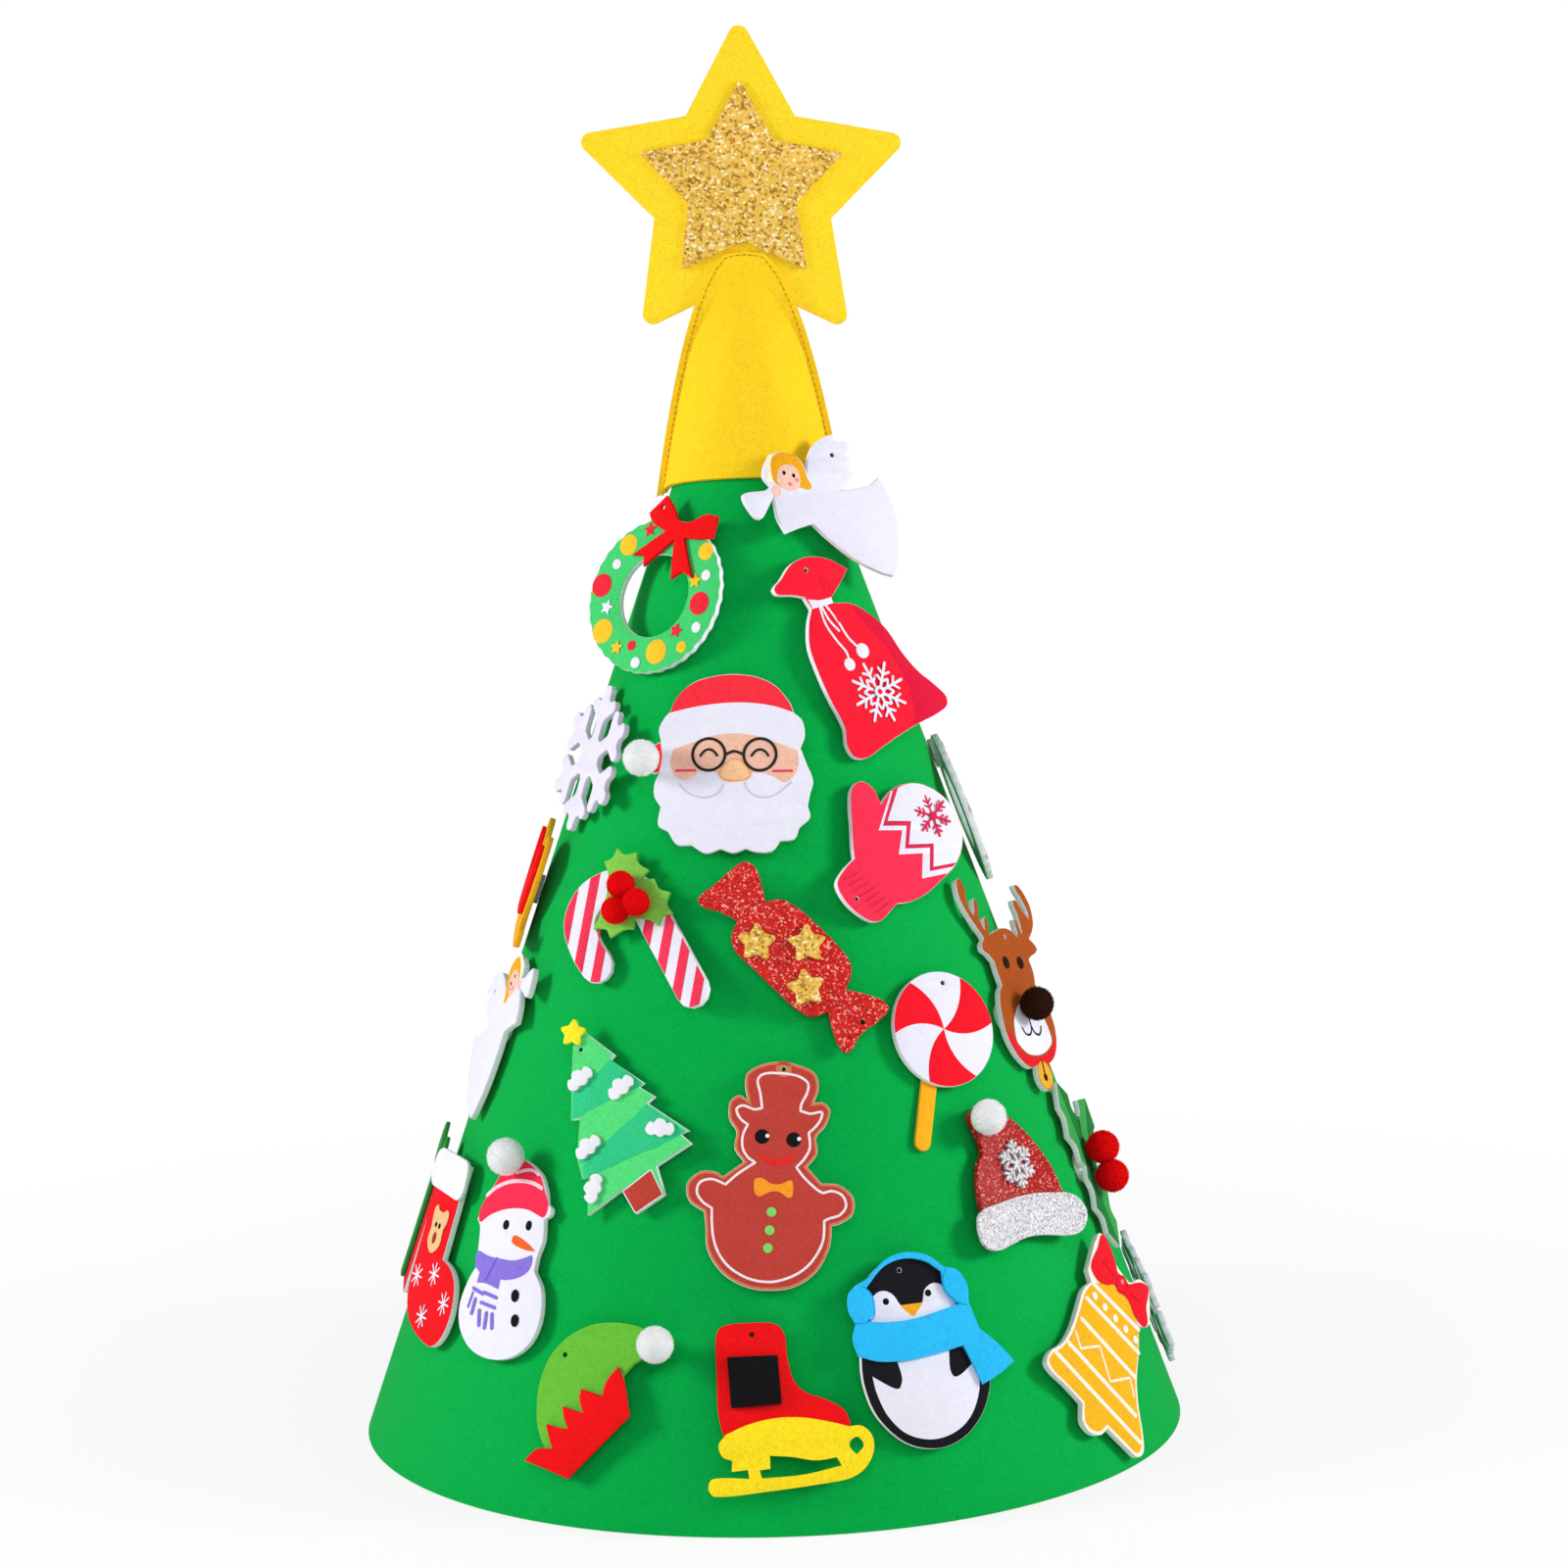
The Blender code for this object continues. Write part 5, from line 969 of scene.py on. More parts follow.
mitten.ink(white_print, outline((1.5, 31, 1), (-11, 13, 1), (3, 11.5, 1), (-2.5, 0, 1), (12, -1, 1), (8, -13.2, 1),
                                (24, -12.4, 1), (30, -8.6), (36.7, 0), (38.7, 10), (36.7, 19), (30.8, 26.7),
                                (22, 32.2), (13, 33.7)))
mitten.ink(mitten_dark, outline((6.5, 32.5, 1), (-4.5, 17, 1), (9.5, 15.4, 1), (5, 4.2, 1), (20, 3, 1),
                               (16.5, -8.3, 1),
                               (31, -7.8, 1), (28, -9.6, 1), (13.6, -10.2, 1), (17, 1.2, 1), (2, 2.4, 1),
                               (6.2, 13.4, 1), (-8, 14.8, 1), (3.2, 31.8, 1)))
for bar in flake_lines(23, 16.4, 10.3, 1.2, 8):
    mitten.ink(mitten_dark, bar)
mitten.ink(mitten_dark, disc(23, 16.4, 2.2, 16))
for k in range(7):
    mitten.ink(mitten_dark, line(((-38.5 + 2.4 * k, -8.5 - 3.0 * k), (-27.5 + 2.1 * k, -5.5 - 2.8 * k)), 0.55))
mitten.done("printed_mitten", "mitten_ornament", "mitten")

# The candy cane is a hooked band with pink stripes. A sprig of plain light green felt is glued on its bend,
# and three red pompoms sit on the sprig.
cane_pink = felt("cane stripe print", "F03A58", 0.8)
leaf_green = felt("light green felt", "83CC50")
berry_yarn = felt("red pompom yarn", "F0080E", 0.8, 0.8)
cane_path = ((-14.5, -17.5), (-22, -9), (-27.5, 3), (-23.5, 15), (-12, 21.5), (0, 20), (9, 12), (15, 4.5), (39, -26))
cane_outline = line(cane_path, 17)
cane = hung(-28, 0.455, -9.5, 11.0)
stamped(cane, [cane_outline], white_print)
hook_side = clip(cane_outline, 4, 0, 90)
leg_side = clip(cane_outline, 4, 0, -90)
for part, places in ((hook_side, (-33.9, -23.3, -12.7, -2)), (leg_side, (10.8, 21.8, 32.6, 43.2))):
    for x in places:
        cane.ink(cane_pink, stripe(part, x, 0, 87, 5.8), inset=0.3)
cane.done("printed_candy_cane", "candy_cane_ornament", "candy_cane")
trim(cane, leaf_green, [outline(
    (-17, 33, 1), (-13, 35), (-11, 40, 1), (-6, 37), (0, 38.5, 1), (1.5, 33.5), (8, 30, 1), (4, 25.5, 1), (11, 26, 1),
    (14.5, 21.5), (21, 20, 1), (20, 14.5), (24, 10, 1), (18.5, 8), (17, 3.5, 1), (12, 6), (3.5, 6.5, 1), (4, 1, 1),
    (-1, 0.5), (-8, -4, 1), (-11, 0), (-18, 0, 1), (-16, 5), (-15, 10, 1), (-13, 19), (-14, 27))], 0.3)
cane.done("felt_holly_sprig", "candy_cane_ornament", "cane_holly")
pompom(cane, "three_red_pompoms", "candy_cane_ornament", "cane_berries", [(-2, 21), (7.5, 13), (-3, 8.5)], 7.0,
       berry_yarn, TRIM_FRONT + 0.3, 21)

# The wrapped candy is a plate of red glitter felt, so its face is rough with flakes. Three small stars of
# gold glitter felt are glued along it.
# Red glitter: its pale pink last tone is a painted glint.
red_glitter = glitter("red glitter", "9A0A0A", "DC1A14", "FFB4A4", 0.0)
candy = hung(8, 0.436, -1.6, 0.0)
candy_outline = outline(
    (-44, 31), (-35.5, 37.5), (-26, 45), (-20, 47.5), (-15.5, 44), (-13.5, 36), (-12, 27.5, 1), (-5, 28.5),
    (3, 24), (12, 15), (20, 6), (26, -3), (26, -10), (23, -16.5, 1), (32, -19), (40, -22.5), (43, -26.5),
    (38, -32), (29, -38), (24, -45), (20.5, -46.5), (17, -41), (15, -33), (14, -26.5, 1), (6, -28.5), (-2, -23.5),
    (-10, -15), (-20, -4), (-28, 5), (-29.5, 12), (-26, 19.5, 1), (-34, 24), (-42, 27))
glittered(candy, red_glitter, [candy_outline, punched(candy, 30, -32.5)], PLATE_BACK, PLATE_FRONT, 0.35, 5)
candy.done("red_glitter_candy", "candy_ornament", "glitter_candy")
for k, (x, y) in enumerate(((-18, 8), (6, 6), (4, -15))):
    glittered(candy, gold_glitter, [star(x, y, 10.4, 0.55, 1.2, 6 * (k - 1))], TRIM_BACK, TRIM_FRONT, 0.3, 30 + k)
    candy.done(f"gold_glitter_star_{k + 1}", "candy_ornament", f"candy_star_{k + 1}")

# The lollipop is a round plate printed with curved red and white sectors, and its stick is a strip of
# orange felt glued behind it.
lolly_red = felt("lollipop print", "F4182A", 0.8)
orange_felt = felt("orange felt", "FBB022")
LOLLY_X = 6
LOLLY_Y = 16
LOLLY_REACH = 27.8
LOLLY_SECTOR = 58
LOLLY_SWIRL = 30
LOLLY_STEPS = 12
lollipop = hung(32, 0.343, 10.0, 22.0)
stamped(lollipop, [disc(LOLLY_X, LOLLY_Y, 28, 72)], white_print, (11, 38))
for first in (119, -1, -121):
    edge_a, edge_b, rim = [], [], []
    for k in range(LOLLY_STEPS + 1):
        share = k / LOLLY_STEPS
        for path, angle, reach in ((edge_a, first - LOLLY_SWIRL * (1 - share), LOLLY_REACH * share),
                                   (edge_b, first + LOLLY_SECTOR - LOLLY_SWIRL * (1 - share), LOLLY_REACH * share),
                                   (rim, first + LOLLY_SECTOR * share, LOLLY_REACH)):
            bend = math.radians(angle)
            path.append((LOLLY_X + reach * math.cos(bend), LOLLY_Y + reach * math.sin(bend)))
    lollipop.ink(lolly_red, edge_a[1:-1] + rim + edge_b[::-1][1:])
lollipop.done("printed_lollipop", "lollipop_ornament", "lollipop_disc")
lollipop.cut(orange_felt, [line(((-1.5, 4), (-17, -35.5)), 8.5)], 1.0, 3.0, 0.3)
lollipop.done("orange_stick", "lollipop_ornament", "lollipop_stick")

# The reindeer is a printed head with antlers, a white muzzle, a red collar and a small bell, all on one plate.
# A real pompom is its nose.
deer_brown = felt("reindeer print", "A8501C", 0.8)
deer_dark = felt("dark brown print", "2B130A", 0.6)
collar_red = felt("collar print", "E01C26", 0.8)
bell_gold = felt("bell print", "EBAA2E", 0.8)
nose_yarn = felt("dark brown pompom yarn", "3A1D10", 0.8, 0.8)
deer = hung(62, 0.388, 9.0, -14.0)
deer_outline = outline(
    (-4.4, 26.4, 1), (-2, 30.5), (-1, 33.6), (-2.4, 35.2), (-4, 34.5), (-5.8, 31), (-7, 29.3, 1), (-8.5, 31.5),
    (-9.2, 35.5), (-8.5, 37.3), (-6, 40.5), (-5.4, 43), (-7, 45.6), (-9, 44), (-11.5, 39.5), (-13.5, 38.2, 1),
    (-15.6, 41), (-15.9, 45.3), (-13.8, 52), (-14.5, 56.5), (-17, 57.3), (-19.5, 56), (-21.7, 51), (-21.4, 45.3),
    (-18.3, 38.1), (-15, 32.6), (-11.1, 26.4), (-11, 25.3, 1), (-15, 23.3), (-15.9, 20.5), (-12, 17.5),
    (-8.3, 13.4, 1), (-8.6, 7.6), (-8.5, 1.2, 1), (-12.8, -1.3), (-16.7, -6.5), (-19, -12.5), (-20.6, -19),
    (-20.6, -24.7), (-18.3, -31.3), (-13.9, -37.4), (-7.2, -41.9), (-0.5, -42, 1), (-2, -44.6), (-3, -49),
    (-1.2, -53), (4.2, -56), (9.6, -53.4), (12.3, -48), (12.5, -43.9, 1), (19, -42.6), (25, -39.2), (29.5, -34),
    (32, -28), (32.5, -22), (32, -16), (30, -10), (26.5, -5, 1), (28.2, -1.5), (29.1, 3), (28.6, 7.6, 1), (32, 8.6),
    (38, 9.4), (41.4, 11), (40, 14), (36.7, 17.2, 1), (42.8, 20.3), (46.7, 23.7), (48.9, 28.7), (49.4, 33.1),
    (47.2, 39.8), (43.5, 44.3), (40, 44.8), (40.2, 42), (43, 36.5), (44.8, 30), (43.8, 26.6, 1), (41.5, 28.8),
    (38.3, 33.5), (36.5, 37.4), (33.5, 38), (32.3, 36), (33, 30), (31.8, 22.5), (30.5, 21, 1), (29.8, 25),
    (29.3, 28.5), (27.5, 29), (26.8, 26), (26, 21.5), (24, 20.5, 1), (19.4, 24.8), (13.9, 26.7), (7.2, 27.4),
    (0.6, 26.7))
stamped(deer, [deer_outline], deer_brown, (11.4, 22.6))
deer.ink(collar_red, outline(
    (-18.9, -19.7, 1), (-16.1, -22.4), (-12.2, -31.3), (-6.1, -35.8), (1.7, -38.3), (9.4, -39.1), (18.3, -38),
    (23.9, -35.8), (28.9, -32.4), (31.7, -28.6, 1), (29.2, -33.8), (24.7, -38.8), (18.8, -42.1), (12.5, -43.4, 1),
    (-0.5, -41.6, 1), (-7, -41.4), (-13.6, -37), (-17.9, -31.1), (-20.2, -24.7)))
deer.ink(white_print, outline(
    (1.7, -10.8), (-3.9, -13.6), (-8.9, -17.4), (-11.7, -22.4), (-12.8, -26.9), (-11.1, -30.2), (-6.1, -34.7),
    (1.7, -37.2), (9.4, -38), (17.2, -36.9), (22.8, -34.7), (24.4, -31.3), (23.7, -23.6), (22.2, -20.8), (18, -15),
    (12, -11.5), (6, -10.5)))
deer.ink(bell_gold, disc(4.4, -48, 7, 32))
deer.ink(deer_dark, line(((5.6, -41.6), (3.9, -48)), 1.4))
deer.ink(deer_dark, disc(3.9, -49.1, 2, 16))
dots(deer, deer_dark, 3.2, 28, (3.3, 10.6), (18.1, 7.8))
strokes(deer, deer_dark, 1.1, ((-3.3, -21.9), (-1.7, -25.2), (1.7, -26.7), (5, -25.6), (6.7, -23), (7, -19.7)),
        ((6.7, -23), (8.3, -26.9), (12.2, -28.6), (15.6, -26.9), (16.7, -25.2)))
deer.done("printed_reindeer", "reindeer_ornament", "reindeer")
pompom(deer, "reindeer_nose_pompom", "reindeer_ornament", "reindeer_nose", [(3.5, -13.2)], 8.5, nose_yarn,
       TRIM_BACK, 31)

# The cap with a fluffy tip is red glitter felt with a brim and a snowflake of silver glitter felt glued on,
# and a white pompom at its tip.
# Silver glitter has no metal here, so its grey-to-white tones are partly painted reflection; the deep red's pale pink
# last tone is a painted glint.
silver_glitter = glitter("silver glitter", "96949A", "DEDCE1", "FFFFFF", 0.0)
dark_red_glitter = glitter("deep red glitter", "7A0808", "B8100E", "FF9A8C", 0.0)
hat = hung(46, 0.239, 11.0, 0.0)
hat_outline = outline(
    (-38.5, -20), (-36, -25.5), (-28, -26.5), (-12, -24.5), (0, -25.5), (13, -28), (25, -29), (30.5, -26),
    (31.5, -20.5),
    (28, -14.5), (22, -9.4, 1), (19.8, 0.6), (16.4, 8.9), (10.9, 18.3), (4.2, 26.7), (-3, 33.3), (-12, 39),
    (-21, 40.5),
    (-28, 36.5), (-26.5, 28), (-25.8, 19), (-30.8, 13.9), (-34.7, 6), (-36.3, -1.7), (-37, -8, 1), (-38.5, -13))
glittered(hat, dark_red_glitter, [hat_outline], PLATE_BACK, PLATE_FRONT, 0.35, 41)
hat.done("red_glitter_cap", "santa_hat_ornament", "santa_hat")
brim_outline = outline(
    (-45.4, -17.2), (-44, -11.7), (-41.5, -8.9), (-36.5, -7.2), (-27.5, -6.7), (-15.4, -6.1), (-0.9, -6.7),
    (13.5, -8.9),
    (23.5, -11.1), (29.6, -15), (32.6, -20.6), (31.9, -24.4), (28, -28.9), (21.3, -31.1), (11.3, -30), (-0.9, -27.2),
    (-13.1, -25.9), (-24.2, -27), (-34.2, -28.1), (-40.9, -26.7), (-44.8, -22.8))
glittered(hat, silver_glitter, [brim_outline], TRIM_BACK, TRIM_FRONT, 0.4, 43)
hat.done("silver_brim", "santa_hat_ornament", "santa_hat_brim")
for bar in flake_lines(-6.6, 9, 11.2, 1.7, 0, ((0.42, 0.4), (0.7, 0.3))):
    trim(hat, silver_glitter, [bar], 0.2)
hat.done("silver_snowflake", "santa_hat_ornament", "santa_hat_snowflake")
pompom(hat, "cap_tip_pompom", "santa_hat_ornament", "santa_hat_pompom", [(-25, 34)], 8.7, white_yarn, TRIM_BACK, 45)

# The small fir is printed with slanting bands of two greens and a brown trunk. A yellow felt star and
# five puffs of snow are glued on.
fir_light = felt("fir light print", "55DC7C", 0.8)
fir_deep = felt("fir deep print", "33C685", 0.8)
trunk_brown = felt("trunk print", "BC4336", 0.8)
star_yellow = felt("lemon felt", "F8E92E")
fir = hung(-24, 0.308, -4.9, 0.0)
fir_outline = [
    (-35, 44), (-30, 42), (-12, 31.5), (-14, 29), (5, 19), (2.5, 17), (11.5, 13), (8, 9.5), (31, -2), (27, -4),
    (33, -8), (16.5, -20), (22.5, -33), (9, -43), (2, -31), (-16, -45.5), (-18, -26), (-21, -28.5), (-25, -19),
    (-26, 0), (-30.5, -1), (-33, 20)]
stamped(fir, [fir_outline], fir_light, (-30, 33))
for band in (((-13.9, 29.7), (5.2, 19), (3.9, 17), (-10, 10.3), (-25.8, 1), (-30.2, -1), (-31.5, 12),
             (-26.7, 14.7), (-19.4, 23)),
             ((7.8, 9.7), (30, -2.6), (27.2, -4.8), (17.8, -10.3), (8.9, -14.2), (-8.9, -23.1), (-20.4, -28.4),
              (-21.7, -21), (-23.9, -22), (-24.3, -18.5), (-13.3, -12), (-6.7, -5.3), (3.9, 4.7))):
    fir.ink(fir_deep, rounded(band, 0.3, 2), inset=0.2)
trunk_outline = rounded([(0.6, -32.8), (14.2, -21.2), (22.2, -33), (8.8, -43)], 1.0)
fir.ink(white_print, trunk_outline)
fir.ink(trunk_brown, trunk_outline, inset=0.5)
fir.done("printed_fir", "fir_ornament", "fir_ornament")
trim(fir, star_yellow, [star(-34.2, 40.5, 7.8, 0.55, 1.2)], 0.3)
fir.done("yellow_star", "fir_ornament", "fir_star")
for k, (x, y, lean) in enumerate(((-27.8, 18.8, 38), (-5.8, 16, 38), (17, -2.2, -5), (-19.2, -13.4, 38),
        (-13.8, -32.7, 72))):
    spin = Matrix.Rotation(math.radians(lean), 2)
    puff = [tuple(spin @ Vector(p) * 1.1 + Vector((x, y))) for p in outline(
        (-6.5, -0.5), (-5, 2.4), (-3.2, 2, 1), (-1.5, 4.3), (1.5, 3.8), (2.4, 2.4, 1), (4.7, 3.3), (6.5, 0.5),
        (5.2, -2.2), (3.1, -2, 1), (0.9, -3.6), (-1.5, -2.7, 1), (-3.8, -3.4), (-6.1, -2.2))]
    trim(fir, white_felt, [puff], 0.35)
    fir.done(f"snow_puff_{k + 1}", "fir_ornament", f"fir_snow_puff_{k + 1}")

# The gingerbread snowman is brown print with a paler baked rim and a line of icing that follows it.
# Its bow tie and buttons are print too.
ginger_rim = felt("gingerbread rim print", "CF7A52", 0.8)
ginger_brown = felt("gingerbread print", "BE433A", 0.8)
ginger_smile = felt("gingerbread smile print", "DE302C", 0.7)
icing = felt("icing print", "F3E4E8", 0.6)
tie_orange = felt("bow tie print", "FB9C2A", 0.7)
button_green = felt("button print", "86D268", 0.7)
ginger = hung(2, 0.267, -2.7, -20.0)
ginger_outline = outline(
    (-11, 50), (-4, 54), (5, 55), (14, 53), (21, 49), (22.5, 42), (20, 35, 1), (24.5, 35), (27.5, 31), (25, 24),
    (20.5, 19), (20.5, 11), (15.5, 5, 1), (22, -3, 1), (30, -4), (36.5, -10), (36, -18), (30, -22), (26, -23, 1),
    (24.5, -33), (18, -44), (8, -50.5), (-3, -52), (-15, -50), (-26, -43), (-32.5, -32), (-33, -20), (-33.5, -14, 1),
    (-40, -9), (-41, -1), (-35, 4.5), (-28, 4.5), (-24, 2, 1), (-14, 8.5, 1), (-18, 15), (-17, 23), (-20, 29),
    (-19.5, 37), (-15, 40), (-11, 37.5, 1), (-12, 44))
stamped(ginger, [ginger_outline], ginger_rim, (6.5, 51.5))
ginger.ink(ginger_brown, ginger_outline, disc(6.5, 51.5, 2.5, 12), inset=1.3)
ginger.ink(icing, *line((
    (-6, 47), (-3, 49.6), (5, 49.6), (13, 48), (17.5, 44.5), (17, 40), (14, 34.5), (13.5, 31.5, 1), (18, 30),
    (23.5, 30.5),
    (22.5, 26.5), (19.5, 23), (17, 21, 1), (17.2, 14), (14.5, 9), (10.5, 5, 1), (14, 0), (20, -6), (22.5, -7.5, 1),
    (27, -6.8), (31.5, -9), (33, -14), (30, -18), (25, -19.5), (22.6, -20.5, 1), (21.5, -30), (17, -38), (11, -43.5),
    (3, -47), (-5, -48), (-14, -46), (-22, -41), (-27, -34.5), (-29.5, -27), (-30, -19), (-29.8, -12.6, 1),
    (-34, -9.5),
    (-36.5, -5), (-35, -0.5), (-30, 1), (-25.5, -0.5), (-23, -1.8, 1), (-17, 3), (-8.6, 8, 1), (-12, 10.5),
    (-14.3, 15), (-14, 21), (-11.5, 26, 1), (-15, 29), (-16.5, 33.5), (-13.5, 35), (-8, 33), (-4.5, 33.5, 1),
    (-5, 40)), 1.15, True))
ginger.ink(ginger_smile, outline((-7.5, 13), (-4, 10.8), (1, 9.6), (6, 10.2), (9.8, 12), (9, 8.2), (5, 6), (0, 6),
           (-4.5, 8)))
for x, y in ((-5, 20), (9.8, 18)):
    ginger.ink(black_ink, disc(x, y, 3.5, 24))
    ginger.ink(white_print, disc(x + 2.5, y + 0.3, 1.0, 12))
ginger.ink(tie_orange, outline((-9, 0.3), (-6, 0.6), (-1.5, -2.2), (3, -2.6), (7.5, -1), (8.6, -2.5), (8, -8.5),
                               (6, -9.2),
                               (2, -6.3), (-2, -6), (-7, -8), (-9.2, -7), (-9.8, -3)))
dots(ginger, button_green, 2.3, 20, (-2, -15.5), (-3.2, -24), (-4.3, -32.3))
ginger.done("printed_gingerbread_snowman", "gingerbread_ornament", "gingerbread")

# The stocking is red print with small stars of frost and a teddy's head. Its cuff is a strip of white
# felt with round corners, glued on.
stocking_red = felt("stocking print", "EC141E", 0.8)
teddy_tan = felt("teddy print", "EDBF8A", 0.7)
teddy_brown = felt("teddy nose print", "9A3A1C", 0.6)
stocking = hung(-63, 0.179, -10.1, -23.0)
stocking_outline = outline(
    (-26, 45, 1), (3.5, 43, 1), (4, 10, 1), (4, -4, 1), (15.5, -6.5), (24.5, -12.5), (29.3, -25), (27.5, -36.5),
    (21, -43.8), (12, -45.6), (-8, -41.7), (-18.5, -35.5), (-24.8, -26), (-26.2, -12))
stamped(stocking, [stocking_outline], stocking_red)
for x, y in ((-19.2, -17.2), (-0.3, -12.6), (19.1, -23.3), (-0.6, -34.1)):
    for k in range(4):
        arm = Vector((math.cos(k * math.pi / 4), math.sin(k * math.pi / 4))) * 5.6
        stocking.ink(white_print, line(((x - arm.x, y - arm.y), (x + arm.x, y + arm.y)), 0.9))
stocking.ink(teddy_tan, outline((-18.5, 12), (-19, 17), (-16.5, 19.5), (-14, 17.5), (-8, 17), (-5, 18.8), (-2, 17.5),
                                (-1.7, 13), (-3.5, 9), (-3, 2), (-6, -2), (-10.6, -3.9), (-15, -2), (-18, 2),
                                (-17.6, 8)))
dots(stocking, black_ink, 1.4, 16, (-13, 10), (-8.7, 10))
stocking.ink(teddy_brown, oval(-10.8, 3.6, 2.1, 3.0))
stocking.done("printed_stocking", "stocking_ornament", "stocking")
trim(stocking, white_felt, [rounded([(-31, 47), (8, 45.5), (11, 25), (-31, 27.5)], 6.5)], 0.5)
stocking.done("white_cuff", "stocking_ornament", "stocking_cuff")

# The gift box is seen from its edge: a red plate, and over it a ribbon with a bow of green felt.
gift_red = felt("gift print", "D8232A", 0.8)
ribbon_green = felt("ribbon green felt", "2F8F3E")
gift = hung(-86, 0.196, -4.0, -5.0)
stamped(gift, [rounded([(-30, 20), (30, 20), (30, -42), (-30, -42)], 3.0)], gift_red)
for y in (-32, -22, -12, -2, 8):
    gift.ink(sack_dark, line(((-28.5, y), (28.5, y)), 1.2))
gift.done("printed_gift_box", "gift_box_ornament", "gift_box")
trim(gift, ribbon_green, [outline(
    (0, 24), (7, 30), (17, 38), (25, 34), (26, 24), (18, 17), (6, 18, 1), (5, -40, 1), (-5, -40, 1), (-6, 18, 1),
    (-18, 17), (-26, 24), (-25, 34), (-17, 38), (-7, 30))], 0.4)
gift.done("green_ribbon_bow", "gift_box_ornament", "gift_bow")

# The snowman is white, with a striped cap, a carrot nose, a violet scarf with a fringe and two coals printed
# on it. A white pompom tops the cap.
cap_red = felt("snowman cap print", "FB3050", 0.8)
cap_pale = felt("cap stripe print", "FBD3DC", 0.7)
scarf_violet = felt("scarf print", "8773D7", 0.8)
scarf_fold = felt("scarf fold print", "6A57BE", 0.7)
carrot_orange = felt("carrot print", "F0622C", 0.7)
snowman = hung(-42, 0.197, -15.0, -25.0)
snowman_outline = outline(
    (-23.5, 12, 1), (-22, 20), (-17, 30), (-12.5, 38.5), (-6, 44.5), (-1, 44), (3, 43), (7.8, 41), (13, 37.5),
    (18, 30), (19.5, 25.5, 1),
    (23, 23.5), (23, 20), (20, 18, 1), (22, 8), (20.5, 0), (20.5, -7, 1), (27.5, -15), (30.5, -28), (27.5, -40),
    (18, -48.5), (4, -52), (-10, -49.5), (-20, -41), (-23.5, -30), (-21, -17), (-17, -9, 1), (-18.5, -5),
    (-19.5, 2), (-21, 9))
stamped(snowman, [snowman_outline], white_print)
snowman.ink(cap_red, outline((-23.1, 13.9), (-21.8, 20), (-16.8, 29.7), (-12.3, 38.2), (-6, 44), (-1, 43.6),
                             (3, 42.7),
                             (7.8, 40.6), (12.9, 37), (17.7, 30), (21.1, 24.4), (20.6, 19.7), (18.9, 18.6),
                             (8.9, 20.8), (1.1, 20.6), (-7.8, 18.6), (-15.6, 15), (-21.1, 10.8)))
for path, width in ((((-20.2, 24.1), (-15.6, 28.3), (-7.8, 32.2), (1.1, 33.9), (8.9, 33.7), (14.4, 32.2)), 1.9),
                    (((-3.9, 37.2), (1.1, 39.1), (6.7, 39.7), (10.6, 38.3)), 1.6)):
    snowman.ink(cap_pale, line(path, width))
for x, y in ((-3.7, 11.9), (11.2, 13.6)):
    snowman.ink(black_ink, oval(x, y, 2.0, 2.4, 0, 20))
snowman.ink(carrot_orange, outline((2.2, 6.1), (3.1, 7.8), (6.7, 7.4), (13.3, 5.2), (18.9, 2.2, 1), (13.3, 1.9),
                                   (5.6, 3),
                                   (2.4, 4.4)))
snowman.ink(scarf_violet, outline(
    (-18.9, -3.3), (-17.2, -2.8), (-11.1, -4.2), (-2.2, -4.4), (6.7, -3.9), (14.4, -1.1), (17.2, 0), (18.3, -3.3),
    (16.7, -7.8), (11.1, -11.7), (3.3, -13.9), (0, -14.1, 1), (0, -18.9, 1), (-8.9, -17.4), (-15, -17.8, 1),
    (-14.4, -12.8, 1), (-18.3, -10)))
snowman.ink(scarf_fold, line(((-5, -4.4), (-9.4, -16.1)), 0.9))
for start, end, width in (((-16.3, -20.8), (-9.4, -22.6), 1.8), ((-8.9, -21.7), (0, -23), 1.8), ((-9.4, -26.7),
                          (0.2, -27.8), 1.8),
                          ((-16.1, -22.8), (-17.4, -30), 1.2), ((-13.6, -25.9), (-14.1, -32.6), 2), ((-9.4, -30.6),
                          (-7.8, -37.4), 2), ((-4.4, -31.1), (-3.8, -38.1), 2), ((-0.6, -31.1), (1.1, -37.4), 2)):
    snowman.ink(scarf_violet, line((start, end), width))
for x, y in ((12, -20.2), (15.2, -31.7)):
    snowman.ink(black_ink, oval(x, y, 2.5, 3.0, 10))
snowman.done("printed_snowman", "snowman_ornament", "snowman")
pompom(snowman, "snowman_cap_pompom", "snowman_ornament", "snowman_pompom", [(-4.4, 43.6)], 9.1, white_yarn,
       TRIM_BACK, 51)

# The elf's cap is plain light green felt. A zigzag collar of red felt is glued along its mouth, and a white
# pompom hangs at its tip.
elf_green = felt("elf green felt", "68BE3A")
elf = hung(-27, 0.095, 2.2, 18.0)
elf_outline = outline(
    (-20, -26, 1), (-26, -16), (-28.5, -5), (-28.5, 6), (-24.5, 19), (-16, 29), (-4, 35.5), (10, 37.5), (22, 36),
    (36, 29.5), (28, 24.5), (20, 19.5), (14.5, 13, 1), (19, -4, 1), (-5, -33, 1))
plate(elf, elf_green, [elf_outline, punched(elf, -17, 20)], 0.35)
elf.done("green_elf_cap", "elf_hat_ornament", "elf_hat")
trim(elf, red_felt, [outline(
    (-30, -31, 1), (-24, -25), (-16, -24, 1), (-19, -18), (-21, -13, 1), (-14, -14), (-9, -14, 1), (-12, -9),
    (-13.5, -4, 1), (-8, -5), (-2, -6, 1), (-5, 0), (-5, 5, 1), (1, 4), (6.5, 2.5, 1), (8, 10), (13, 17, 1), (17, 10),
    (22, -5, 1), (-6, -37, 1), (-17, -34))], 0.35)
elf.done("red_zigzag_collar", "elf_hat_ornament", "elf_hat_brim")
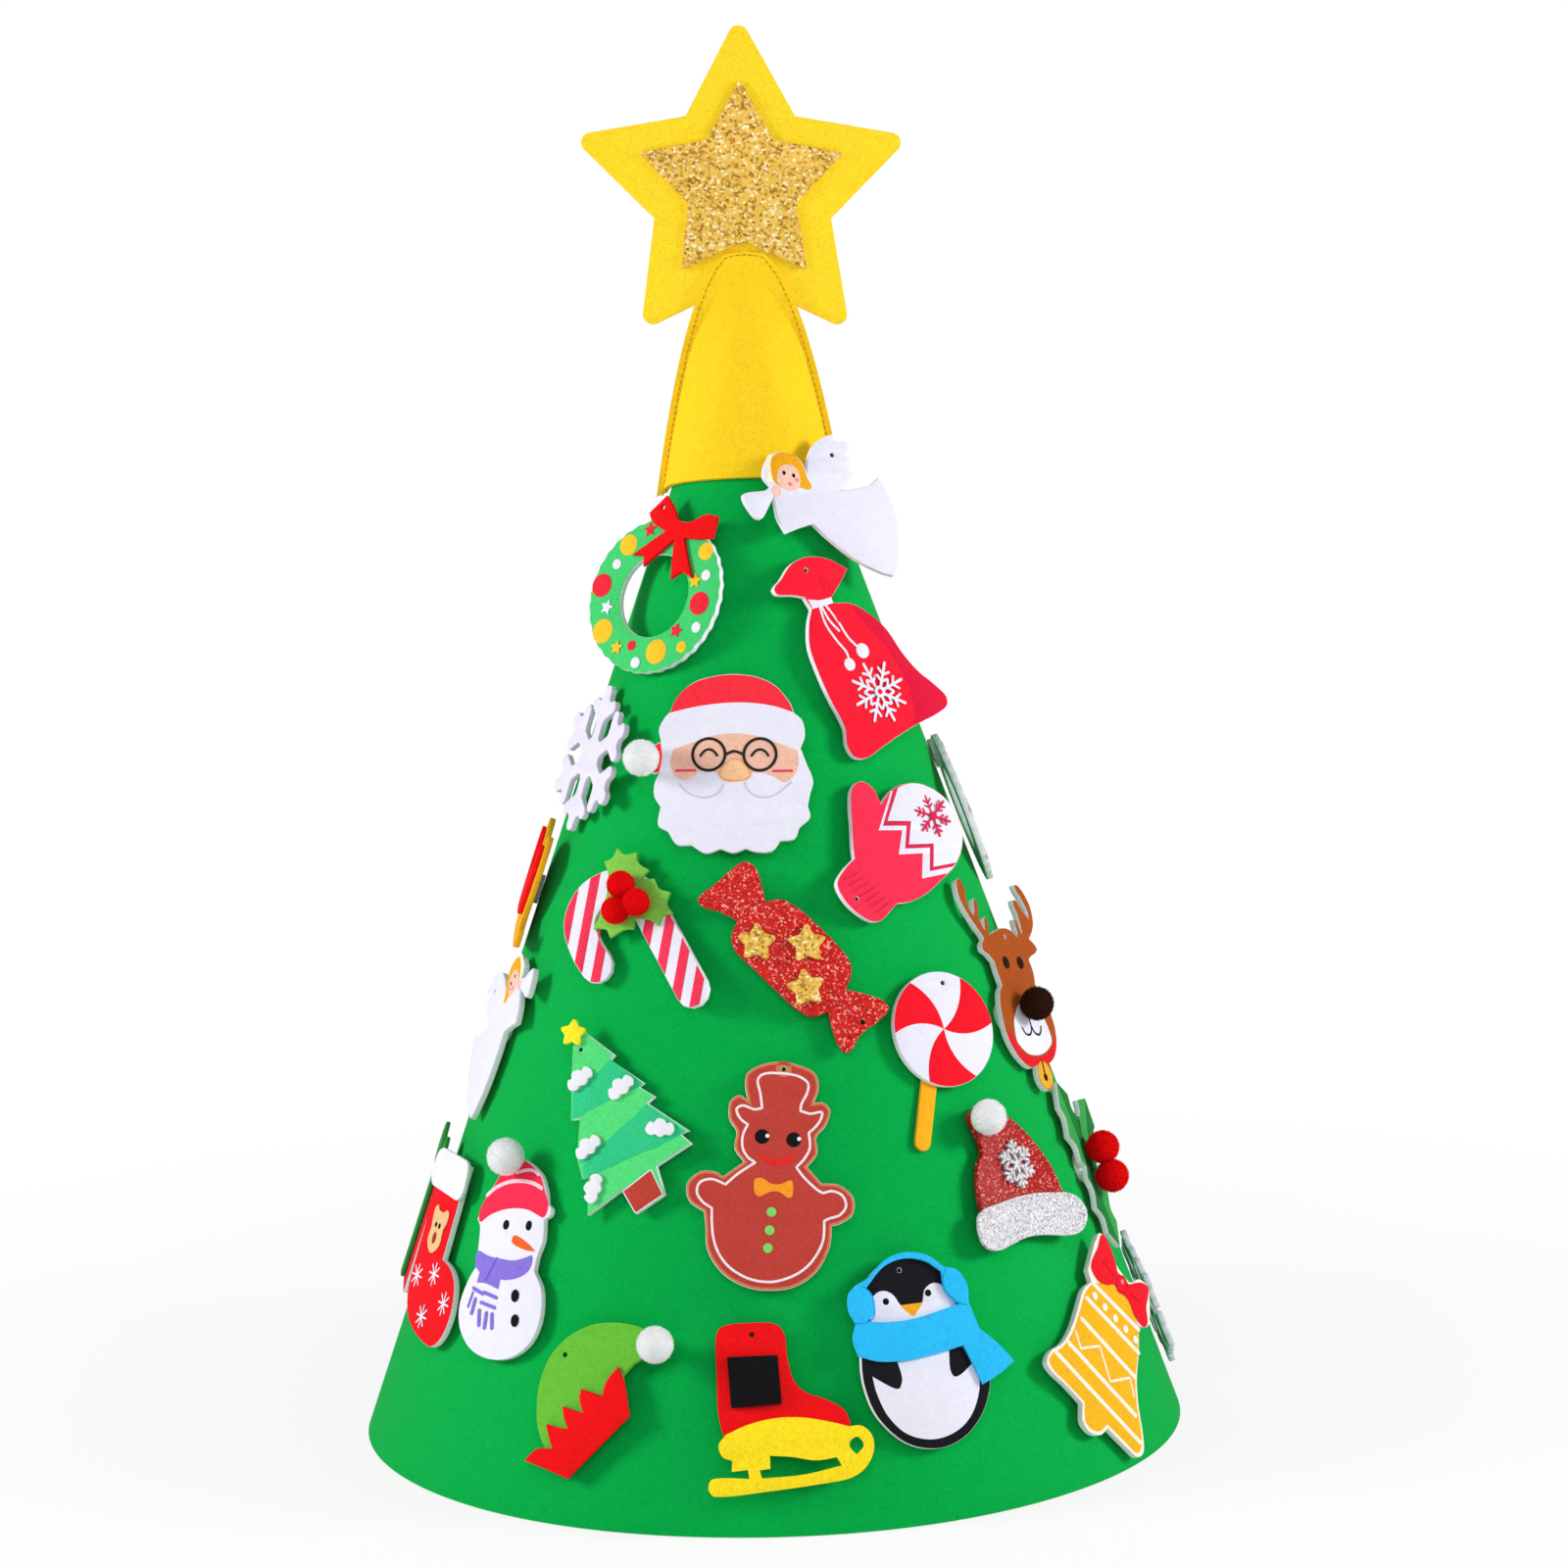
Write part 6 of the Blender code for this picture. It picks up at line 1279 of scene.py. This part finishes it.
pompom(elf, "elf_cap_pompom", "elf_hat_ornament", "elf_hat_pompom", [(34.5, 28.8)], 8.8, white_yarn, TRIM_BACK, 61)

# The ice skate is three layers of plain felt: a red boot, a square black patch and a yellow blade
# with its openings stamped out.
black_felt = felt("black felt", "141316")
lemon_felt = felt("skate yellow felt", "FDE022")
skate = hung(3, 0.093, -3.2, -1.5)
plate(skate, red_felt, [outline(
    (-32.5, 36), (-29, 40), (-16, 41), (-5, 40), (-1, 35.5), (0, 25), (2.5, 14), (8, 8), (18, 4), (25.5, -1),
    (28, -7, 1), (26, -14, 1), (-30, -15, 1), (-33, 0), (-33, 18)), punched(skate, -16, 35.5)], 0.4)
skate.done("red_boot", "skate_ornament", "skate_boot")
trim(skate, black_felt, [rounded([(-28, 25.5), (-4.5, 25.5), (-3.5, 3), (-27, 2)], 0.6)], 0.3)
skate.done("black_patch", "skate_ornament", "skate_patch")
trim(skate, lemon_felt, [
    outline((-30, -10, 1), (-20, -6), (-8, -3.5), (5, -3.5), (18, -6), (27, -8.5, 1), (33, -8.5), (37.5, -13),
    (38, -20),
            (34, -27.5), (27, -32), (15, -34), (-10, -36.5), (-36, -38), (-39, -34.5), (-37, -30), (-20, -30.5, 1),
            (-20.5, -26.5, 1), (-28, -27, 1), (-27.5, -22, 1), (-32, -20), (-33.5, -14.5)),
    outline((-15.5, -26.5, 1), (-10.5, -26, 1), (-10.5, -20, 1), (0, -21), (11, -23), (21, -22, 1), (23.5, -26.5, 1),
            (5, -30), (-14.5, -31, 1)),
    outline((30, -21.5, 1), (33.5, -17.5), (31, -13.5), (27.5, -15), (27, -18))], 0.35)
skate.done("yellow_blade", "skate_ornament", "skate_blade")

# The penguin's body is black and white print. Its ear muffs, their band and the scarf are one piece
# of bright blue felt glued round the face.
penguin_black = felt("penguin print", "1B1A1F", 0.7)
beak_orange = felt("beak print", "F8B024", 0.7)
blue_felt = felt("blue felt", "2DBDF8")
blue_line = felt("blue edge line", "1C93D4", 0.6)
penguin = hung(20, 0.127, 5.9, -15.0)
penguin_outline = outline(
    (-27, 16, 1), (-27, 26), (-22, 36), (-12, 44), (-2, 46.5), (9, 44), (18, 37), (23, 28), (25, 17, 1), (29, 5),
    (32, -8), (32, -18), (26, -31), (15, -41), (1, -44.5), (-14, -40), (-26, -27), (-30.5, -12), (-30, 2))
stamped(penguin, [penguin_outline], penguin_black, (-5, 39.5))
penguin.ink(white_print, outline((-26, -8, 1), (-25, -16), (-21, -27), (-13, -36), (-1, -40), (11, -38), (20, -31.5),
                                 (26, -20), (27, -8, 1), (20, 0, 1), (-20, 0, 1)))
penguin.ink(penguin_black, outline((-27, -1, 1), (-13, -1, 1), (-11.5, -10), (-13.5, -14.8), (-17, -14),
            (-26.5, -7.5, 1)))
penguin.ink(penguin_black, outline((14, 1, 1), (13, -9), (14.5, -12.6), (18, -12), (24, -8, 1), (24, 1, 1)))
penguin.ink(white_print, outline((-23, 15, 1), (-22, 26), (-18, 30.2), (-14, 30.8), (-10, 28.5), (-7, 23.4),
                                 (-5, 22.5),
                                 (2, 22.5), (4, 23.4), (6, 29), (10, 31.6), (14, 31), (17, 27), (21, 20),
                                 (21, 15, 1)))
penguin.ink(beak_orange, outline((-7.4, 23.3, 1), (4.2, 23.3, 1), (0, 18.5), (-1.5, 17.4), (-3, 18.5)))
dots(penguin, black_ink, 1.6, 20, (-14, 25.8), (7.6, 27.4))
penguin.done("printed_penguin", "penguin_ornament", "penguin")
scarf_outline = outline(
    (-31, 17, 1), (-33.5, 23.5), (-32.5, 31), (-28, 35, 1), (-22, 37.5), (-12, 45), (-2, 47.5), (9, 45),
    (17, 38.5, 1),
    (23, 36.5), (27, 29), (26.5, 20.5, 1), (30, 8, 1), (38, 0), (45, -9, 1), (37, -14), (27.5, -18, 1), (24, -8),
    (20.5, 1, 1), (8, -1), (-8, -2.5), (-22, -1.5), (-32, 2, 1), (-33.5, 10))
scarf_window = outline(
    (-25.5, 17.5, 1), (-21, 21), (-21, 29), (-23.5, 33, 1), (-13, 42), (-2, 44.5), (8, 42), (15, 36.5, 1), (15.5, 28),
    (21.5, 20.5, 1), (0, 16.5), (-13, 16))
trim(penguin, blue_felt, [scarf_outline, scarf_window], 0.35)
strokes(penguin, blue_line, 0.5, ((-32, 17.5), (-27, 17), (-22, 19), (-20.8, 24), (-21.5, 30), (-25, 34)),
        ((17.5, 37.5), (15, 33), (15.5, 27), (20, 21.5), (25.5, 19.5)))
penguin.done("blue_muffs_and_scarf", "penguin_ornament", "penguin_scarf")

# The bell hangs aslant. It is printed with white bands, a row of dots and a zigzag, and a red bow is
# printed at its crown.
bell_orange = felt("bell orange print", "EFB321", 0.8)
bell_cream = felt("bell band print", "F6EBDD", 0.7)
bell_red = felt("bell bow print", "EA1B2C", 0.8)
bell_deep = felt("bell bow fold print", "C11124", 0.8)
bell_blush = felt("bell bow highlight print", "F6808C", 0.7)
bell = hung(52, 0.095, 13.2, -6.0)
bell_outline = outline(
    (-47.5, 5), (-42, 9), (-31, 10.5), (-20, 16), (-10, 24), (-2, 30.5), (6, 32.5, 1), (6, 38.5, 1), (12, 44),
    (19, 50), (25, 53), (28.5, 47), (30, 36), (33.5, 29, 1), (37, 25), (45, 25), (50, 20), (47, 11), (42, 3),
    (38, 2), (33, 4, 1), (27, -7), (18, -20), (13, -32), (10, -44), (6, -53), (0, -54), (-6, -48), (-16.5, -35.5, 1),
    (-23, -37), (-30, -34.5), (-34, -28), (-30, -19.5, 1), (-38, -9), (-46, 0))
stamped(bell, [bell_outline], bell_cream)
bell_face = outline(
    (-45.5, 5), (-42, 7.5), (-31, 9), (-19.5, 14.3), (-9.5, 22.3), (-1, 29), (6.5, 31.6, 1), (28, 26),
    (32.5, 3.5, 1), (25.5, -8),
    (16.5, -20), (11.5, -32), (8.5, -44), (4.5, -51), (0, -52), (-5, -46.5), (-16, -33.6, 1), (-23, -35.2),
    (-28.8, -33), (-32, -28), (-28.2, -19.5, 1), (-36.5, -9), (-44, 0))
bell.ink(bell_orange, bell_face)
strokes(bell, bell_cream, 2.4, ((-38.3, 7.6), (5.3, -48)), ((-26.7, 9.8), (8.2, -35.4)), ((-10.6, 17.6), (17, -18.2)),
        ((-1.7, 25.9), (25.8, -8)), ((6.7, 31.4), (31.5, 2.4)))
bell.ink(bell_cream, line([(x, y, 1) for x, y in ((-18.6, 13.1), (-18.6, 4.8), (-3.3, 2.3), (-3.6, -15.4),
                                                  (12.4, -17.4),
                                                  (11.5, -26.5))], 1.2))
dots(bell, bell_cream, 2.0, 20, (5, 25.6), (10.2, 18.7), (15.7, 11.8), (21.1, 5.1), (26.4, -1.6))
bell.ink(bell_red, outline(
    (8.9, 38.7), (10.6, 41.4), (15.6, 44.8), (20, 47.6), (23.9, 51.5), (26.2, 51.8), (28, 48.5), (29.2, 42.6),
    (29.2, 35.9), (28.7, 32), (31.7, 29.3), (34.5, 24.9), (41.1, 24), (46.8, 22.5), (49.6, 19.6), (47.8, 16.2),
    (43, 11), (40.8, 4.4), (37.8, 2.2), (34.5, 4), (31.7, 9.2), (30.6, 17), (28.3, 20.3), (24.4, 23.1), (23.3, 27),
    (17.8, 28.1), (12.2, 30.9), (9.4, 34.8)))
bell.ink(bell_deep, disc(29.1, 25.9, 4.7, 28), disc(29.1, 25.9, 4.1, 28))
bell.ink(bell_blush, disc(30, 27, 1.3, 16))
strokes(bell, bell_deep, 0.6, ((25, 31), (19, 40)), ((33, 21), (39, 14)))
bell.done("printed_bell", "bell_ornament", "bell")

# The sprig on the right edge is three printed holly leaves, each with a lighter half, and two red
# pompoms where the leaves meet.
LEAF_LENGTH = 50
LEAF_HALF_WIDTH = 15
LEAF_SPIKES = 3
LEAF_MIDDLE = 25
holly_deep = felt("holly deep print", "1C7A35", 0.8)
holly_light = felt("holly light print", "38A14B", 0.8)
holly = hung(74, 0.224, 0.0, 2.0)


def leaf_half(side):
    """One spiny side of a leaf, from its foot to its tip."""
    rows = []
    for k in range(LEAF_SPIKES):
        share = (k + 0.7) / (LEAF_SPIKES + 0.4)
        valley = share + 0.5 / (LEAF_SPIKES + 0.4)
        rows.append((share * LEAF_LENGTH, side * LEAF_HALF_WIDTH * math.sin(math.pi * share) ** 0.6, 1))
        rows.append((valley * LEAF_LENGTH,
                     side * LEAF_HALF_WIDTH * 0.62 * math.sin(math.pi * min(valley, 0.9)) ** 0.6))
    return [(0, 0, 1)] + rows[:-1] + [(LEAF_LENGTH, 0, 1)]


def placed(points, angle, foot):
    spin = Matrix.Rotation(math.radians(angle), 2)
    return [tuple(spin @ Vector((p[0] + foot, p[1]))) for p in points]


for middle, angle in ((22, 95), (22, 38), (17, -88)):
    leaf = leaf_half(1) + leaf_half(-1)[-2:0:-1]
    holly.cut(white_felt, [placed(outline(*leaf),
              angle, middle - LEAF_MIDDLE)], PLATE_BACK, PLATE_FRONT - PRINT_LIP, 0.15)
    for side, look in ((1, holly_light), (-1, holly_deep)):
        holly.cut(look, [placed(outline(*leaf_half(side)),
                  angle, middle - LEAF_MIDDLE)], PLATE_FRONT - PRINT_FELT, PLATE_FRONT, 0.05, 0.1)
holly.done("printed_holly", "holly_ornament", "holly")
pompom(holly, "two_red_pompoms", "holly_ornament", "holly_berries", [(3, 7.8),
       (1.2, -7)], 8.5, berry_yarn, TRIM_BACK, 71)

# The second wreath on the right edge has the same print and no bow.
edge_wreath = hung(93, 0.527, 0.0, 30.5)
wreath_print(edge_wreath, 0, 0)
edge_wreath.done("printed_wreath_right", "second_wreath_ornament", "second_wreath")

# The sleigh on the left edge is two layers of plain felt: an orange base with its runner, and a red body.
sleigh = hung(-88, 0.479, 0.0, -6.0)
plate(sleigh, orange_felt, [outline(
    (-38, 16), (-30, 26), (-17, 23.5), (-10, 10, 1), (0, 6), (10, 10, 1), (20, 21), (34, 25), (41, 14), (35, -8),
    (30, -17, 1), (36, -24), (42, -22, 1), (42, -30, 1), (28, -33), (-30, -33), (-41, -28), (-36, -22), (-28, -24, 1),
    (-27, -18, 1), (-34, -6))], 0.4)
sleigh.done("orange_sleigh_base", "sleigh_ornament", "sleigh_runner")
trim(sleigh, red_felt, [outline(
    (-34, 12), (-29, 21), (-19, 19), (-13, 7), (0, 2), (13, 6), (22, 17), (33, 20), (36, 10), (30, -5), (20, -17),
    (0, -20), (-20, -18), (-31, -5))], 0.4)
sleigh.done("red_sleigh_body", "sleigh_ornament", "sleigh_body")

# A white sweep under soft light from both sides, seen a little from above as in the photograph. The
# floor keeps the tree's shadow and fades to the same white as the room.
FLOOR_HALF = 4.0
FLOOR_DROP = 0.0005
ROOM_LIGHT = 0.28
PLAIN_WHITE = (1.0, 1.0, 1.0, 1.0)
LAMP_TARGET = Vector((0.0, 0.0, 0.3))
CAMERA_PLACE = Vector((0.0, -2.0, 0.5876))
CAMERA_TARGET = Vector((0.0131, 0.0, 0.3229))
CAMERA_LENS = 92.33
CAMERA_ROLL = -1.48
paper, paper_tree, paper_shader = new_look("white paper")
set_inputs(paper_shader, Base_Color=(0.92, 0.92, 0.92, 1.0), Roughness=1.0)
glow = set_inputs(paper_tree.nodes.new("ShaderNodeEmission"), Strength=1.0)
blend = paper_tree.nodes.new("ShaderNodeMixShader")
rays = paper_tree.nodes.new("ShaderNodeLightPath")
spread = paper_tree.nodes.new("ShaderNodeTexCoord")
reach = paper_tree.nodes.new("ShaderNodeVectorMath")
reach.operation = 'LENGTH'
fade = set_inputs(paper_tree.nodes.new("ShaderNodeMapRange"), From_Min=0.2, From_Max=0.75, To_Min=0.8, To_Max=1.0)
share = paper_tree.nodes.new("ShaderNodeMath")
share.operation = 'MULTIPLY'
wire(paper_tree, (spread.outputs["Object"], reach.inputs[0]), (reach.outputs["Value"], fade.inputs["Value"]),
     (fade.outputs["Result"], share.inputs[1]), (rays.outputs["Is Camera Ray"], share.inputs[0]),
     (share.outputs[0], blend.inputs[0]), (paper_shader.outputs[0], blend.inputs[1]),
     (glow.outputs[0], blend.inputs[2]),
     (blend.outputs[0], paper_tree.nodes["Material Output"].inputs["Surface"]))
floor_mesh = bpy.data.meshes.new("floor")
corners = [(x * FLOOR_HALF, y * FLOOR_HALF, 0.0) for x, y in ((-1, -1), (1, -1), (1, 1), (-1, 1))]
floor_mesh.from_pydata(corners, [], [(0, 1, 2, 3)])
floor_mesh.materials.append(paper)
floor = linked(bpy.data.objects.new("floor", floor_mesh))
floor.location.z = -FLOOR_DROP

for name, place, size, power in (("left_box", (-1.9, -0.55, 0.95), 0.6, 28), ("right_box", (1.9, -0.55, 0.95),
                                 0.6, 28),
                                 ("front_fill", (0.0, -2.4, 1.6), 1.2, 15.5)):
    lamp = bpy.data.lights.new(name, 'AREA')
    lamp.size = size
    lamp.energy = power
    box = linked(bpy.data.objects.new(name, lamp))
    box.location = place
    box.rotation_euler = (LAMP_TARGET - Vector(place)).to_track_quat('-Z', 'Y').to_euler()

world = bpy.data.worlds.new("studio")
bpy.context.scene.world = world
world.use_nodes = True
sky = world.node_tree
fill = set_inputs(sky.nodes["Background"], Color=PLAIN_WHITE, Strength=ROOM_LIGHT)
clear = set_inputs(sky.nodes.new("ShaderNodeBackground"), Color=PLAIN_WHITE)
seen = sky.nodes.new("ShaderNodeLightPath")
pick = sky.nodes.new("ShaderNodeMixShader")
wire(sky, (seen.outputs["Is Camera Ray"], pick.inputs[0]), (fill.outputs[0], pick.inputs[1]),
     (clear.outputs[0], pick.inputs[2]), (pick.outputs[0], sky.nodes["World Output"].inputs["Surface"]))

camera_data = bpy.data.cameras.new("camera")
camera_data.lens = CAMERA_LENS
camera_data.sensor_width = 36
camera = linked(bpy.data.objects.new("camera", camera_data))
aim = (CAMERA_TARGET - CAMERA_PLACE).to_track_quat('-Z', 'Y').to_matrix().to_4x4()
camera.matrix_world = Matrix.Translation(CAMERA_PLACE) @ aim @ Matrix.Rotation(math.radians(CAMERA_ROLL), 4, 'Z')
bpy.context.scene.camera = camera
bpy.context.scene.view_settings.view_transform = 'Standard'
